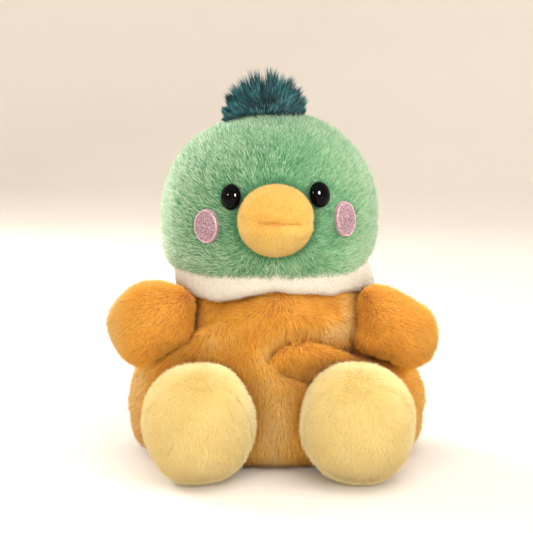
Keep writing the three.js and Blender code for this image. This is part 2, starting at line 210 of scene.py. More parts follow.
def waves(p, size, seed, count=6, usual_sum=3.2):
    """Smooth random values, mostly from -1 to 1, that change over about the given size."""
    rng = np.random.default_rng(seed)
    total = np.zeros(len(p))
    for _ in range(count):
        k = rng.normal(size=3)
        k *= 2 * math.pi / size / np.linalg.norm(k) * rng.uniform(0.6, 1.4)
        total += np.sin(p @ k + rng.uniform(0, 2 * math.pi))
    return total / usual_sum


def line_distance(x, z, points):
    """Distance of places from a line through the given points, and the share of the line passed there."""
    nearest = np.full(len(x), np.inf)
    passed = np.zeros(len(x))
    for i, ((ax, az), (bx, bz)) in enumerate(zip(points, points[1:])):
        dx, dz = bx - ax, bz - az
        t = np.clip(((x - ax) * dx + (z - az) * dz) / (dx * dx + dz * dz), 0, 1)
        distance = np.hypot(x - ax - t * dx, z - az - t * dz)
        passed = np.where(distance < nearest, (i + t) / (len(points) - 1), passed)
        nearest = np.minimum(nearest, distance)
    return nearest, passed


# Materials
# Every colour is an sRGB value turned to linear, and one function adds a node with its settings.


def linear(hex_colour):
    channels = [int(hex_colour[i : i + 2], 16) / 255 for i in (1, 3, 5)]
    return [c / 12.92 if c <= 0.04045 else ((c + 0.055) / 1.055) ** 2.4 for c in channels] + [1]


def add_node(tree, kind, inputs=None, **settings):
    node = tree.nodes.new(kind)
    for key, value in settings.items():
        setattr(node, key, value)
    for key, value in (inputs or {}).items():
        if isinstance(value, bpy.types.NodeSocket):
            tree.links.new(value, node.inputs[key])
        else:
            node.inputs[key].default_value = value
    return node


def new_material(name, **finish):
    """A plain material. finish gives the shader's values, with _ for a space in their names."""
    material = bpy.data.materials.new(name)
    material.use_nodes = True
    tree = material.node_tree
    tree.nodes.clear()
    shader = add_node(tree, "ShaderNodeBsdfPrincipled")
    for key, value in finish.items():
        if isinstance(value, str):
            value = linear(value)
        shader.inputs[key.replace("_", " ")].default_value = value
    add_node(tree, "ShaderNodeOutputMaterial", {"Surface": shader.outputs[0]})
    return material, tree, shader


def colour_ramp(tree, factor, stops):
    node = add_node(tree, "ShaderNodeValToRGB", {0: factor})
    elements = node.color_ramp.elements
    while len(elements) < len(stops):
        elements.new(0.5)
    for element, (position, colour) in zip(elements, stops):
        element.position = position
        element.color = linear(colour)
    return node.outputs[0]


def patterned_material(name, kind, size, stops, output=0, detail=None, **finish):
    """A material whose colour follows a pattern of a real size."""
    material, tree, shader = new_material(name, **finish)
    where = add_node(tree, "ShaderNodeTexCoord")
    pattern = add_node(tree, kind, {"Vector": where.outputs["Object"], "Scale": 1 / size})
    if detail:
        pattern.inputs["Detail"].default_value = detail
    tree.links.new(colour_ramp(tree, pattern.outputs[output], stops), shader.inputs["Base Color"])
    return material, tree, shader, pattern


def fit(obj, material, body, slot, *nodes):
    """A piece's material, the body that it moves with and the CAD nodes that it stands for. slot is not used.
    """
    obj.data.materials.append(material)
    if body:
        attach(obj, body)
    if nodes:
        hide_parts(*nodes)


# Plush pile
# Dyed polyester fibre, knitted into a cloth, sheared and brushed. It looks soft and matt, and its tips
# catch the light at the rims. A real fibre is about 0.03 mm thick, too fine to show, so each tuft stands
# for some ten of them.

# Across the map that a pile's material reads lies the tuft's own tone, and up it the way from root to tip.
TONE_WIDTH = 0.004
LENGTH_ON_MAP = 0.3


def pile_material(name, roots, tips, sheen=0.12, tip_start=0.1, tip_end=0.8):
    """A tuft is dark at its root, where little light gets in, and pale at its tip.

    roots and tips are colour stops over the tone, from shaded to light pile.
    """
    material, tree, shader = new_material(
        name, Roughness=0.85, Specular_IOR_Level=0.2, Sheen_Weight=sheen, Sheen_Roughness=0.5
    )
    where = add_node(tree, "ShaderNodeUVMap", uv_map="OFBake")
    split = add_node(tree, "ShaderNodeSeparateXYZ", {0: where.outputs[0]})
    ends = {"From Min": tip_start * LENGTH_ON_MAP, "From Max": tip_end * LENGTH_ON_MAP}
    along = add_node(
        tree, "ShaderNodeMapRange", {"Value": split.outputs["Y"], **ends}, interpolation_type="SMOOTHSTEP"
    )
    colours = [colour_ramp(tree, split.outputs["X"], stops) for stops in (roots, tips)]
    mix = add_node(
        tree, "ShaderNodeMix", {0: along.outputs[0], 6: colours[0], 7: colours[1]}, data_type="RGBA"
    )
    tree.links.new(mix.outputs[2], shader.inputs["Base Color"])
    return material


def backing_material(name, dark, light):
    """A knitted base cloth dyed like its pile: a dull, darker ground that shows only between the tufts.

    Its loops are 0.9 mm wide and 0.2 mm high.
    """
    material, tree, shader, loops = patterned_material(
        name, "ShaderNodeTexVoronoi", 0.9 * mm, [(0.1, light), (0.8, dark)], "Distance",
        Roughness=0.95, Specular_IOR_Level=0.2,
    )
    height = {"Height": loops.outputs["Distance"], "Distance": 0.2 * mm, "Strength": 0.6}
    bump = add_node(tree, "ShaderNodeBump", height)
    tree.links.new(bump.outputs[0], shader.inputs["Normal"])
    return material


def plush_materials(colour, kind, dark, light, roots, tips, **looks):
    backing = backing_material(colour + "_knit_backing", dark, light)
    return backing, pile_material(f"{colour}_{kind}_pile", roots, tips, **looks)


def make_spike(name, levels, bend=0.0, sides=3):
    """A tapered tuft of unit length and width along +Z, bent towards +X, with its place on the map."""
    verts, along, aside = [], [], []
    for share, radius in levels:
        for side in range(sides):
            a = 2 * math.pi * side / sides
            verts.append((radius * math.cos(a) / 2 + bend * share**2, radius * math.sin(a) / 2, share))
            along.append(share)
            aside.append(side / (sides - 1) - 0.5)
    verts.append((bend, 0, 1))
    along.append(1)
    aside.append(0)
    faces = [part for a, b, c, d in band_faces(len(levels), sides) for part in ((a, b, c), (a, c, d))]
    tip = len(verts) - 1
    spike = make_mesh(name, verts, faces + fan_faces(tip, tip - sides, sides))
    for attribute, values in [("along", along), ("aside", aside)]:
        spike.data.attributes.new(attribute, "FLOAT", "POINT").data.foreach_set("value", values)
    return spike


# Lean is 0 for upright pile and 1 for flat pile. Straying is how far tufts differ from their combing, and
# Clump pull how far those of a clump lean together. The tones are shares of the way from dark to pale.
PLUSH = {
    "Tufts per square metre": 1.0e7,
    "Length": 2.9 * mm,
    "Width": 0.24 * mm,
    "Lean": 0.64,
    "Straying": 0.42,
    "Clump size": 3.5 * mm,
    "Clump pull": 0.3,
    "Clump tone": 0.25,
    "Tone spread": 0.15,
}
SWIRL = 2.6  # how strongly the clumps' noise turns the tufts
LEAST_LIFT = 0.18
LENGTHS, WIDTHS = (0.72, 1.18), (0.7, 1.3)  # from the shortest and thinnest tuft to the other end


def make_pile_tree():
    """Scatters tufts over a backing. The backing carries how the pile is combed, toned, grown and cut."""
    tree = bpy.data.node_groups.new("pile", "GeometryNodeTree")
    sockets = [("Backing", "Geometry"), *((name, "Float") for name in PLUSH), ("Seed", "Int")]
    for name, kind in [*sockets, ("Tuft", "Object"), ("Material", "Material")]:
        tree.interface.new_socket(name, in_out="INPUT", socket_type="NodeSocket" + kind)
    tree.interface.new_socket("Pile", in_out="OUTPUT", socket_type="NodeSocketGeometry")
    given = add_node(tree, "NodeGroupInput").outputs

    def named(name, kind="FLOAT"):
        node = add_node(tree, "GeometryNodeInputNamedAttribute", {"Name": name}, data_type=kind)
        return node.outputs["Attribute"]

    def calc(operation, a, b):
        return add_node(tree, "ShaderNodeMath", {0: a, 1: b}, operation=operation).outputs[0]

    def vector(operation, a, b=None, scale=None):
        inputs = {0: a}
        if b is not None:
            inputs[1] = b
        if scale is not None:
            inputs["Scale"] = scale
        node = add_node(tree, "ShaderNodeVectorMath", inputs, operation=operation)
        return node.outputs["Value" if operation == "DOT_PRODUCT" else "Vector"]

    def random(low, high, step, kind="FLOAT"):
        inputs = {"Seed": calc("ADD", given["Seed"], step)}
        inputs |= {2: low, 3: high} if kind == "FLOAT" else {0: (low,) * 3, 1: (high,) * 3}
        return add_node(tree, "FunctionNodeRandomValue", inputs, data_type=kind).outputs[int(kind == "FLOAT")]

    density = calc("MULTIPLY", given["Tufts per square metre"], named("cover"))
    spread = {"Mesh": given["Backing"], "Density": density, "Seed": given["Seed"]}
    scatter = add_node(tree, "GeometryNodeDistributePointsOnFaces", spread)
    out = scatter.outputs["Normal"]
    where = add_node(tree, "GeometryNodeInputPosition").outputs[0]
    scale = calc("DIVIDE", 1.0, given["Clump size"])
    clumps = add_node(tree, "ShaderNodeTexNoise", {"Vector": where, "Scale": scale, "Detail": 2.0})
    swirl = vector("SCALE", vector("SUBTRACT", clumps.outputs["Color"], (0.5, 0.5, 0.5)), scale=SWIRL)
    stray = random(-1, 1, 1, "FLOAT_VECTOR")
    combed = vector("ADD", named("comb", "FLOAT_VECTOR"), vector("SCALE", swirl, scale=given["Clump pull"]))
    combed = vector("ADD", combed, vector("SCALE", stray, scale=given["Straying"]))
    standing = vector("SCALE", out, scale=calc("SUBTRACT", 1.0, given["Lean"]))
    way = vector("NORMALIZE", vector("ADD", vector("SCALE", combed, scale=given["Lean"]), standing))
    # No tuft points back into the fabric.
    lift = calc("MAXIMUM", calc("SUBTRACT", LEAST_LIFT, vector("DOT_PRODUCT", way, out)), 0.0)
    way = vector("NORMALIZE", vector("ADD", way, vector("SCALE", out, scale=lift)))
    axes = {0: way, 1: vector("SCALE", out, scale=-1.0)}
    turn = add_node(tree, "FunctionNodeAxesToRotation", axes, primary_axis="Z", secondary_axis="X")
    length = calc("MULTIPLY", calc("MULTIPLY", given["Length"], named("growth")), random(*LENGTHS, 2))
    width = calc("MULTIPLY", given["Width"], random(*WIDTHS, 3))
    size = add_node(tree, "ShaderNodeCombineXYZ", {0: width, 1: width, 2: length})
    tuft = add_node(tree, "GeometryNodeObjectInfo", {"Object": given["Tuft"]})
    tufts = add_node(
        tree,
        "GeometryNodeInstanceOnPoints",
        {
            "Points": scatter.outputs["Points"],
            "Instance": tuft.outputs["Geometry"],
            "Rotation": turn.outputs[0],
            "Scale": size.outputs[0],
        },
    )
    clump_tone = calc("MULTIPLY", calc("SUBTRACT", clumps.outputs[0], 0.5), given["Clump tone"])
    own_tone = calc("MULTIPLY", random(-1.0, 1.0, 4), calc("MULTIPLY", given["Tone spread"], named("spread")))
    tone = calc("ADD", calc("ADD", named("shade"), clump_tone), own_tone)
    tone = calc("MINIMUM", calc("MAXIMUM", tone, 0.01), 0.99)
    store = "GeometryNodeStoreNamedAttribute"
    toned = {"Geometry": tufts.outputs[0], "Name": "tone", "Value": tone}
    toned = add_node(tree, store, toned, domain="INSTANCE")
    real = add_node(tree, "GeometryNodeRealizeInstances", {0: toned.outputs[0]})
    across = calc("ADD", named("tone"), calc("MULTIPLY", named("aside"), TONE_WIDTH))
    up = calc("MULTIPLY", named("along"), LENGTH_ON_MAP)
    mapped = {"Geometry": real.outputs[0], "Name": "OFBake"}
    mapped = add_node(tree, store, mapped, data_type="FLOAT2", domain="CORNER")
    on_map = add_node(tree, "ShaderNodeCombineXYZ", {0: across, 1: up})
    tree.links.new(on_map.outputs[0], mapped.inputs["Value"])
    dyed = {"Geometry": mapped.outputs[0], "Material": given["Material"]}
    dyed = add_node(tree, "GeometryNodeSetMaterial", dyed)
    add_node(tree, "NodeGroupOutput", {"Pile": dyed.outputs[0]})
    return tree


pile_tree = make_pile_tree()
plush_tuft = make_spike("plush_tuft", [(0, 1.0)])
PILE_FLOOR = 0.05 * mm  # no tuft reaches lower, into the floor


def groom(backing, comb, shade, growth=1.0, spread=1.0, cover=1.0, lies_flat=True):
    """Writes on a backing how its pile is combed, its tone and how far tufts differ, its growth and place."""
    if lies_flat:
        n = normals(backing)
        comb = unit(comb - n * np.sum(comb * n, axis=1)[:, None])
    mesh = backing.data
    values = mesh.attributes.new("comb", "FLOAT_VECTOR", "POINT").data
    values.foreach_set("vector", comb.ravel().astype(np.float32))
    for name, value in [("shade", shade), ("growth", growth), ("spread", spread), ("cover", cover)]:
        value = np.broadcast_to(np.asarray(value, float), len(comb)).astype(np.float32)
        mesh.attributes.new(name, "FLOAT", "POINT").data.foreach_set("value", value)


def lay_pile(name, backing, material, body, slot, cover, seed, tuft=plush_tuft, **sizes):
    """A mesh of pile over a groomed backing."""
    backing.data.attributes["cover"].data.foreach_set("value", cover.astype(np.float32))
    modifier = backing.modifiers.new("pile", "NODES")
    modifier.node_group = pile_tree
    values = {**PLUSH, **sizes, "Seed": seed, "Tuft": tuft, "Material": material}
    for item in pile_tree.interface.items_tree:
        if item.in_out == "INPUT" and item.name in values:
            modifier[item.identifier] = values[item.name]
    backing.data.update()
    backing.update_tag()
    bpy.context.view_layer.update()
    evaluated = backing.evaluated_get(bpy.context.evaluated_depsgraph_get())
    mesh = bpy.data.meshes.new_from_object(evaluated)
    backing.modifiers.remove(modifier)
    for extra in ["comb", "shade", "growth", "spread", "cover", "tone", "along", "aside", "id"]:
        if extra in mesh.attributes:
            mesh.attributes.remove(mesh.attributes[extra])
    mesh.name = name
    pile = make_object(name, mesh)
    p = places(pile)
    p[:, 2] = np.maximum(p[:, 2], PILE_FLOOR)
    mesh.vertices.foreach_set("co", p.ravel())
    mesh.update()
    if body:
        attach(pile, body)
    return pile


def finish_plush(fabric, materials, body, slot, nodes, piles, fill=0.6, **sizes):
    """A stuffed fabric and the pile on it. fill is not used.

    piles holds the name of each piece of pile, where on the fabric it grows and its random seed.
    """
    backing, pile = materials
    fit(fabric, backing, body, slot, *nodes)
    return [lay_pile(name, fabric, pile, body, slot, cover, seed, **sizes) for name, cover, seed in piles]


# Filling
# Polyester fibre, pushed into each fabric bag by hand. It follows the fabric from a little inside it.

FILL_DEPTH = 1.8 * mm
# Polyester staple fibre, carded into loose wisps 2.5 mm wide: a white, matt fluff.
fibre = patterned_material(
    "carded_polyester_fibre", "ShaderNodeTexNoise", 2.5 * mm, [(0.3, "#E2DFD8"), (0.7, "#FAF9F6")],
    detail=6.0, Roughness=0.95, Sheen_Weight=0.3,
)[0]


def put_fill(name, form, inset, shape, body, floor=None, lean=None):
    """Stands for the CAD node of the same name."""
    fill = swell(name + "_fibre", form, -inset - FILL_DEPTH, 5, shape, floor=floor)
    if lean:
        fill.data.transform(lean)
    fit(fill, fibre, body, "fibre_fill", name)


# Camera
# It stands where the photograph was taken from: a little above the duck and looking slightly down.

CAMERA_DISTANCE = 417 * mm
CAMERA_PITCH = math.radians(7)
CAMERA_TARGET = Vector((-2.4 * mm, SHIFT, 62.4 * mm))

camera_data = bpy.data.cameras.new("camera")
camera_data.lens = 85
camera_data.sensor_width = 36
camera_data.clip_start = 0.01
camera = bpy.data.objects.new("camera", camera_data)
backwards = Vector((0, -math.cos(CAMERA_PITCH), math.sin(CAMERA_PITCH)))
camera.location = CAMERA_TARGET + CAMERA_DISTANCE * backwards
camera.rotation_euler = (math.pi / 2 - CAMERA_PITCH, 0, 0)
bpy.context.scene.collection.objects.link(camera)
bpy.context.scene.camera = camera

# Limb forms
# The wings' and feet's plain forms and swings are needed before the torso is covered: where a limb is sewn
# on, or presses at every angle, no pile is laid.

FEET_ACROSS = {1: (25.7 * mm, 17.6 * mm), -1: (-23.2 * mm, 17.0 * mm)}  # middle and half-width
FOOT_CENTRE = (SHIFT - 35 * mm, 18.1 * mm)
FOOT_SIZES = (18 * mm, 18 * mm, 18.4 * mm, 2.15)  # front, back, half-height and roundness
WING_CENTRE = (38.9 * mm, SHIFT - 17 * mm, 44.8 * mm)
WING_SIZES = (15 * mm, 13 * mm, 13 * mm, 13.6 * mm, 2.2)  # half-width, then as a foot's
joints = {joint["name"]: joint for joint in frame["joints"]}


def limb_form(kind, side):
    if kind == "foot":
        x, half_width = FEET_ACROSS[side]
        return ball((x, *FOOT_CENTRE), half_width, *FOOT_SIZES)
    x, y, z = WING_CENTRE
    return ball((side * x, y, z), *WING_SIZES)


def swung(p, joint, share=1.0):
    """Places on a limb after its joint has turned by a share of its range."""
    joint = joints[joint]
    pivot = np.array(joint["pos_m"])
    turn = Matrix.Rotation(math.radians(joint["range_deg"][1] * share), 3, Vector(joint["axis"]))
    return (p - pivot) @ np.array(turn).T + pivot


def sewn_in(form, p, joint, depth=2 * mm, share=1.0):
    """Whether places lie inside a form both at rest and after the joint has turned."""
    return is_buried(form, p, depth) & is_buried(form, swung(p, joint, share), depth)


# Torso
# A pear of caramel plush that is slack over the belly. It is sewn from panels, turned, stuffed and closed
# underneath with an oval base panel. The slack falls in rolls and creases below the collar.

PILE_DEPTH = 1.3 * mm
TORSO_FLOOR = 0.5 * mm

torso = {
    "centre": np.array((0, SHIFT, 16 * mm)),
    "half_width": 48.8 * mm,
    "front": 28 * mm,
    "back": TORSO_BACK,
    "up": 40 * mm,
    "down": 16.5 * mm,
    "up_curve": 1.9,
    "down_curve": 4.5,
    "chest_curve": 5,
    "shoulder": 31 * mm,
    "shoulder_curve": 6,
    "blending": 6,
}

# Creases and rolls of the belly: places across and up in millimetres, height, half-width
BELLY_FOLDS = [
    ([(-40, 32), (-26, 39), (-15, 46), (-3, 50), (11, 52), (24, 55.5)], 2.4, 4.6),
    ([(27, 37.6), (20, 40.2), (13, 42.6), (7, 43.2), (2, 41.5), (-1.3, 38.5), (-2.2, 35.7)], -3.6, 1.5),
    ([(27, 44), (16, 46.4), (8, 46.8), (1, 45)], 2.2, 2.6),
    ([(20, 36), (13, 37.2), (6, 36.5)], 2.2, 3.4),
    ([(1.5, 33.5), (4.9, 31.6), (8, 30.3), (12, 28)], -2.8, 1.5),
    ([(-8, 42), (-4, 33), (1, 24), (2.8, 11)], 1.6, 4.2),
    ([(-26, 43.4), (-20.2, 46.2), (-17.4, 49.6), (-14.5, 51.6)], -2.6, 1.9),
    ([(-24, 54.4), (-9.7, 53.6), (-3, 54.4)], -2.2, 1.7),
    ([(-2, 55.5), (8, 56), (18, 56), (26, 57)], 1.4, 2.6),
    ([(10, 54), (11.5, 48.5)], -1.1, 1.2),
    ([(15.5, 54), (16, 49)], -0.9, 1.2),
    ([(-26.4, 58), (-26, 48.3), (-27, 41.5), (-33.7, 37.2), (-38.3, 33.8), (-45, 31)], -2.4, 1.8),
    ([(27, 43), (27, 39), (30.7, 36.7), (36.2, 34.8), (45, 31)], -3.0, 2.0),
    ([(21.5, 56), (22.5, 50.5), (21.5, 45.5)], 2.8, 3.6),
]
SHOULDERS = [([(-34, 51), (-27, 55)], 3.4, 6), ([(27.5, 54), (34, 50.5)], 4.0, 5.5)]
# In millimetres: the half-width of the seam down the back, how far the nape bulges, where and how widely,
# and how far the front is pushed up to the collar
BACK_SEAM = 1.3
NAPE, NAPE_HEIGHT, NAPE_SPREAD = 6.0, 51, 6
COLLAR_LIFT = 2.4


def fold_height(x, z, folds, fading=0.55):
    """How far folds move the fabric out. They fade towards their ends."""
    total = np.zeros(len(x))
    for points, height, half_width in folds:
        distance, passed = line_distance(x, z, points)
        ends = 1 - fading * (2 * np.abs(passed - 0.5)) ** 4
        total += height * ends * bell(distance, half_width)
    return total


def slack_belly(p, d):
    x, z = across_and_up(p)
    front = smoothstep(-0.05, 0.35, -d[:, 1])
    fold = fold_height(x, z, BELLY_FOLDS) * front
    soft = 0.5 * waves(p, 19 * mm, 3) * smoothstep(6, 20, z)  # uneven stuffing, but a flat seat
    seam = -0.8 * bell(x, BACK_SEAM) * smoothstep(0.3, 0.6, d[:, 1])
    puff = fold_height(x, z, SHOULDERS)
    nape = NAPE * smoothstep(-0.1, 0.35, d[:, 1]) * bell(z - NAPE_HEIGHT, NAPE_SPREAD)
    p = p + d * ((fold + soft + seam + puff + nape) * mm)[:, None]
    p[:, 0] += 1.0 * mm * smoothstep(36, 22, z)  # the seat has slumped to one side
    lift = COLLAR_LIFT * smoothstep(47, 55, z) * smoothstep(0.5, 0.1, d[:, 1])
    p[:, 2] += lift * (1 - 0.2 * smoothstep(16, 23, x)) * mm
    return p


# Polyester plush, dyed caramel and brushed by hand: tufts that lean away from the light show their orange
# roots, and those that lean towards it their pale tips.
caramel = plush_materials(
    "caramel", "polyester", "#9A5A1C", "#B8742A",
    roots=[(0.0, "#8A4C0C"), (0.35, "#D28A28"), (0.6, "#E29E36"), (0.8, "#D4963F"), (1.0, "#D2994A")],
    tips=[(0.0, "#A65E12"), (0.3, "#E69820"), (0.55, "#F6B238"), (0.75, "#F9C258"), (1.0, "#FED68A")],
    sheen=0.05,
    tip_end=0.7,
)

put_fill("body_stuffing", torso, PILE_DEPTH, slack_belly, "torso", floor=TORSO_FLOOR + FILL_DEPTH)
body_fabric = swell("body_fabric", torso, -PILE_DEPTH, 6, slack_belly, floor=TORSO_FLOOR)
unfolded = swell("unfolded_torso", torso, -PILE_DEPTH, 6)
folds = fold_height(*across_and_up(places(unfolded)), BELLY_FOLDS)
bpy.data.objects.remove(unfolded)
p, n = places(body_fabric), normals(body_fabric)
x, z = across_and_up(p)
front = smoothstep(0.0, 0.5, -n[:, 1])
comb = np.stack([0.5 * p[:, 0] / (40 * mm), 0 * x, -1 + 0 * x], axis=1)
comb[:, 0] += 0.4 * waves(p, 30 * mm, 11) + 1.1 * np.tanh(x / 12) * smoothstep(46, 53, z)
# Where the slack is stretched or turned over, the pile stands open and shows paler. Other zones are painted
# light and shade: the pale band beside the left wing's top is painted light against its shade, the pale
# column between the feet is partly painted light against their shade, and the negative zones are darker:
# painted shade along three thin creases and under the collar's left, and a darker bulge below the deep
# crease. Places across and up in millimetres, how much, half-width
PALE_AND_PAINTED_ZONES = [
    ([(28, 44.8), (17, 44.6)], 1.0, 3.3),
    ([(17, 44.6), (10.6, 45.2), (4.3, 44.0), (-0.7, 41.7), (-3.8, 38.8), (-3.2, 36.8)], 0.95, 1.9),
    ([(22, 37.5), (13, 38.5), (5, 37)], -0.3, 3.2),
    ([(-6, 30), (2, 25)], 0.25, 5.0),
    ([(8.1, 50.5), (10.2, 47.6)], -0.8, 0.8),
    ([(12.3, 50.5), (13.8, 46.7)], -0.8, 0.8),
    ([(18.2, 51.8), (19.9, 48.4)], -0.8, 0.8),
    ([(21.5, 45), (22.5, 53)], 0.85, 3.0),
    ([(0.5, 20), (0.5, 5)], 1.0, 5.0),
    ([(0.5, 28), (0.5, 2)], 0.4, 10.0),
    ([(4, 32), (10, 30)], 0.7, 1.8),
    ([(-44, 22), (-38, 36), (-27, 40), (-18, 43)], 0.65, 5.0),
    ([(-26, 49), (-22, 53), (-8, 54.5)], -0.3, 3.0),
]
# How much painted rim light pales the pile at the seat's sides
PAINTED_FLANK_LIGHT = {"left": 0.2, "right": 0.42}  # how much paler the pile stands at the seat's sides
# How wide and how dark the painted shade beside a limb is
GAP_WIDTH, GAP_PAINTED_SHADE = 3 * mm, 0.24  # beside a limb
# The belly's tone, from 0, dark, to 1, pale; the painted light of the rolls and the painted shade of the
# creases per millimetre of their height, and how much the pale zones change it
BODY_TONE, ROLL_PAINTED_LIGHT, CREASE_PAINTED_SHADE, PALE_TONE = 0.455, 0.02, 0.085, 0.34

pale = sum(high * bell(line_distance(x, z, line)[0], wide) for line, high, wide in PALE_AND_PAINTED_ZONES)
# Painted light on the rolls and painted shade in the creases, then the pale zones
crease = np.minimum(folds, 0) * front
shade = BODY_TONE + ROLL_PAINTED_LIGHT * np.maximum(folds, 0) * front + CREASE_PAINTED_SHADE * crease
shade += PALE_TONE * pale * front
# Painted rim light on the seat's sides
flank = smoothstep(0.55, 0.95, np.abs(n[:, 0])) * smoothstep(44, 36, z)
shade += flank * np.where(x < 0, PAINTED_FLANK_LIGHT["right"], PAINTED_FLANK_LIGHT["left"])
# Random tone, and painted light on the low front between the feet against their shade
shade += 0.05 * waves(p, 12 * mm, 12) + 0.07 * front * smoothstep(22, 14, z)
for side in (1, -1):
    # Pile in the gap beside a limb gets painted shade, less of it near the top.
    for kind in ("foot", "wing"):
        beside = is_buried(limb_form(kind, side), p, -GAP_WIDTH)
        shade -= GAP_PAINTED_SHADE * beside * (1 - smoothstep(42, 47, z) * np.where(x > 0, 1, 0.6))
growth = 1 + 0.2 * np.clip(pale, 0, 1) * front + 0.13 * crease
groom(body_fabric, comb, shade, growth, spread=1 + 0.9 * np.clip(pale, 0, 1) * front)
hidden = (z > 57.5) | (z < 0.9)  # under the collar, and under the seat
for side, name in SIDES:
    hidden |= sewn_in(limb_form("foot", side), p, name + "_hip", share=-1)
    hidden |= sewn_in(limb_form("wing", side), p, name + "_shoulder", share=-1)
is_front, is_left = n[:, 1] < 0.1, p[:, 0] > 0
halves = {"front": is_front, "back": ~is_front}
sides = {"left": is_left, "right": ~is_left}
quarters = [(half, side) for half in halves for side in sides]
piles = [
    (f"body_pile_{half}_{side}", halves[half] & sides[side] & ~hidden, seed)
    for seed, (half, side) in enumerate(quarters, 30)
]
finish_plush(body_fabric, caramel, "torso", "caramel_plush", ["body_skin"], piles)

# Base panel
# An oval of the same knit, pile side out, that closes the torso underneath. It is sewn in by hand last,
# so it is flat, with a raised seam round it.

base_oval = ball((0, SHIFT, 0.55 * mm), 25 * mm, 18 * mm, 18 * mm, 0.5 * mm, 4)
fit(swell("base_cloth", base_oval, 0, 5), caramel[0], "torso", "caramel_plush", "base_panel")

# Tail
# A short wedge of caramel plush, stuffed, turned up and sewn to the back over the seat.

TAIL_TURN = math.radians(32)
tail_place = Matrix.Translation((0, SHIFT + 32 * mm, 24 * mm)) @ Matrix.Rotation(TAIL_TURN, 4, "X")
tail_root = np.array((0, SHIFT + 22 * mm, 22 * mm))
tail = ball((0, 0, 0), 11 * mm, 12 * mm, 17 * mm, 6.5 * mm, 1.7)
tail_fabric = swell("tail_fabric", tail, -0.9 * mm, 5, carry=tail_place)
p = places(tail_fabric)
groom(tail_fabric, p - tail_root, 0.42 + 0.05 * waves(p, 12 * mm, 21), growth=0.85)
piles = [("tail_pile", ~is_buried(torso, p, 2 * mm), 2)]
finish_plush(tail_fabric, caramel, "torso", "caramel_plush", ["tail_skin"], piles)

# Wings
# A stubby ball of caramel plush on each side, stuffed, with its open end sewn to the shoulder.

# Outlines seen from the front: places across and up in millimetres
WING_OUTLINES = {
    "left": [
        (31.8, 58.7), (36.9, 57.9), (41.4, 55.7), (46.1, 53.1), (50.2, 49.7), (52.4, 44.1), (51.8, 38.1),
        (49.1, 33.9), (44.1, 31.7), (36.2, 34.8), (30.7, 36.7), (25.4, 38.6), (25.5, 45.5), (26.2, 52.0),
        (27.8, 57.0),
    ],
    "right": [
        (-40.1, 59.9), (-44.5, 58.8), (-48.8, 55.8), (-52.0, 52.0), (-53.6, 47.2), (-52.4, 41.6),
        (-50.0, 37.2), (-46.2, 33.3), (-42.6, 31.7), (-37.5, 34.8), (-34.3, 36.7), (-31.0, 38.5),
        (-28.0, 40.1), (-25.2, 42.0), (-25.4, 48.3), (-25.0, 54.0), (-26.6, 57.0), (-31.1, 58.9),
        (-35.6, 60.0),
    ],
}
WING_INSET = PILE_DEPTH - 0.2 * mm
# The tone of a wing's middle, and how much painted light makes it paler outwards
WING_TONES_AND_PAINTED_LIGHT = {"left": (0.45, 0.2), "right": (0.54, 0.36)}
WING_PILE = {"Length": 2.5 * mm, "Clump size": 2.2 * mm, "Clump pull": 0.22, "Clump tone": 0.18}


def outline_radius(outline, middle, angle):
    """How far an outline reaches from its middle at each angle, with its corners rounded."""
    points = np.array(outline) - middle
    at = np.arctan2(points[:, 1], points[:, 0])
    all_round = np.radians(np.arange(-180, 180))
    radius = np.interp(all_round, at, np.hypot(points[:, 0], points[:, 1]), period=2 * math.pi)
    rounding = np.hanning(21)
    radius = np.convolve(np.tile(radius, 3), rounding / rounding.sum(), "same")[360:720]
    return np.interp(angle, all_round, radius, period=2 * math.pi)


for side, name in SIDES:
    form = limb_form("wing", side)

    def with_outline(p, d, form=form, side=side, name=name):
        """The ball's outline from the front becomes the photographed one."""
        middle = form["centre"]
        local = (p - middle) / mm
        angle = np.arctan2(local[:, 2], local[:, 0])
        flat = np.stack([np.cos(angle), 0 * angle, np.sin(angle)], axis=1)
        plain = (reach(form, flat) - WING_INSET) / mm
        wanted = outline_radius(WING_OUTLINES[name], middle[[0, 2]] / mm, angle) - WING_INSET / mm
        local[:, [0, 2]] *= (wanted / plain)[:, None]
        soft = 0.3 * waves(p, 15 * mm, 31 + side)
        return local * mm + middle + d * (soft * mm)[:, None]

    body, joint = name + "_wing", name + "_shoulder"
    put_fill(body + "_stuffing", form, WING_INSET, with_outline, body)
    fabric = swell(body + "_fabric", form, -WING_INSET, 6, with_outline)
    p = places(fabric)
    # The pile is brushed away from a parting over the shoulder, outwards and down.
    parting = np.array(joints[joint]["pos_m"]) + np.array((-7 * side, 4, 7)) * mm
    comb = 0.4 * unit(p - parting) + np.array((0.6 * side, -0.1, -0.5))
    # Painted shade darkens the wing towards the body and underneath, and painted light pales it outwards and
    # along its rim.
    inner = smoothstep(38 * mm, 24 * mm, side * p[:, 0]) + 0.7 * smoothstep(42 * mm, 30 * mm, p[:, 2])
    outer = smoothstep(42, 54, side * p[:, 0] / mm)
    rim = smoothstep(0.5, 0.08, -normals(fabric)[:, 1]) * (1 - inner)
    tone, paler = WING_TONES_AND_PAINTED_LIGHT[name]
    shade = tone - 0.22 * inner + paler * outer
    shade += 0.05 * waves(p, 13 * mm, 41 + side) + 0.24 * np.clip(rim, 0, 1)
    groom(fabric, comb, shade, growth=0.85)
    piles = [(body + "_pile", ~sewn_in(torso, p, joint, 2.5 * mm), 3 + side)]
    finish_plush(fabric, caramel, body, "caramel_plush", [body + "_skin"], piles, **WING_PILE)

# Feet
# A ball of yellow plush on each side, stuffed and sewn to the front of the seat. A round sole panel closes
# its front, and the seam round the panel is drawn in a little.

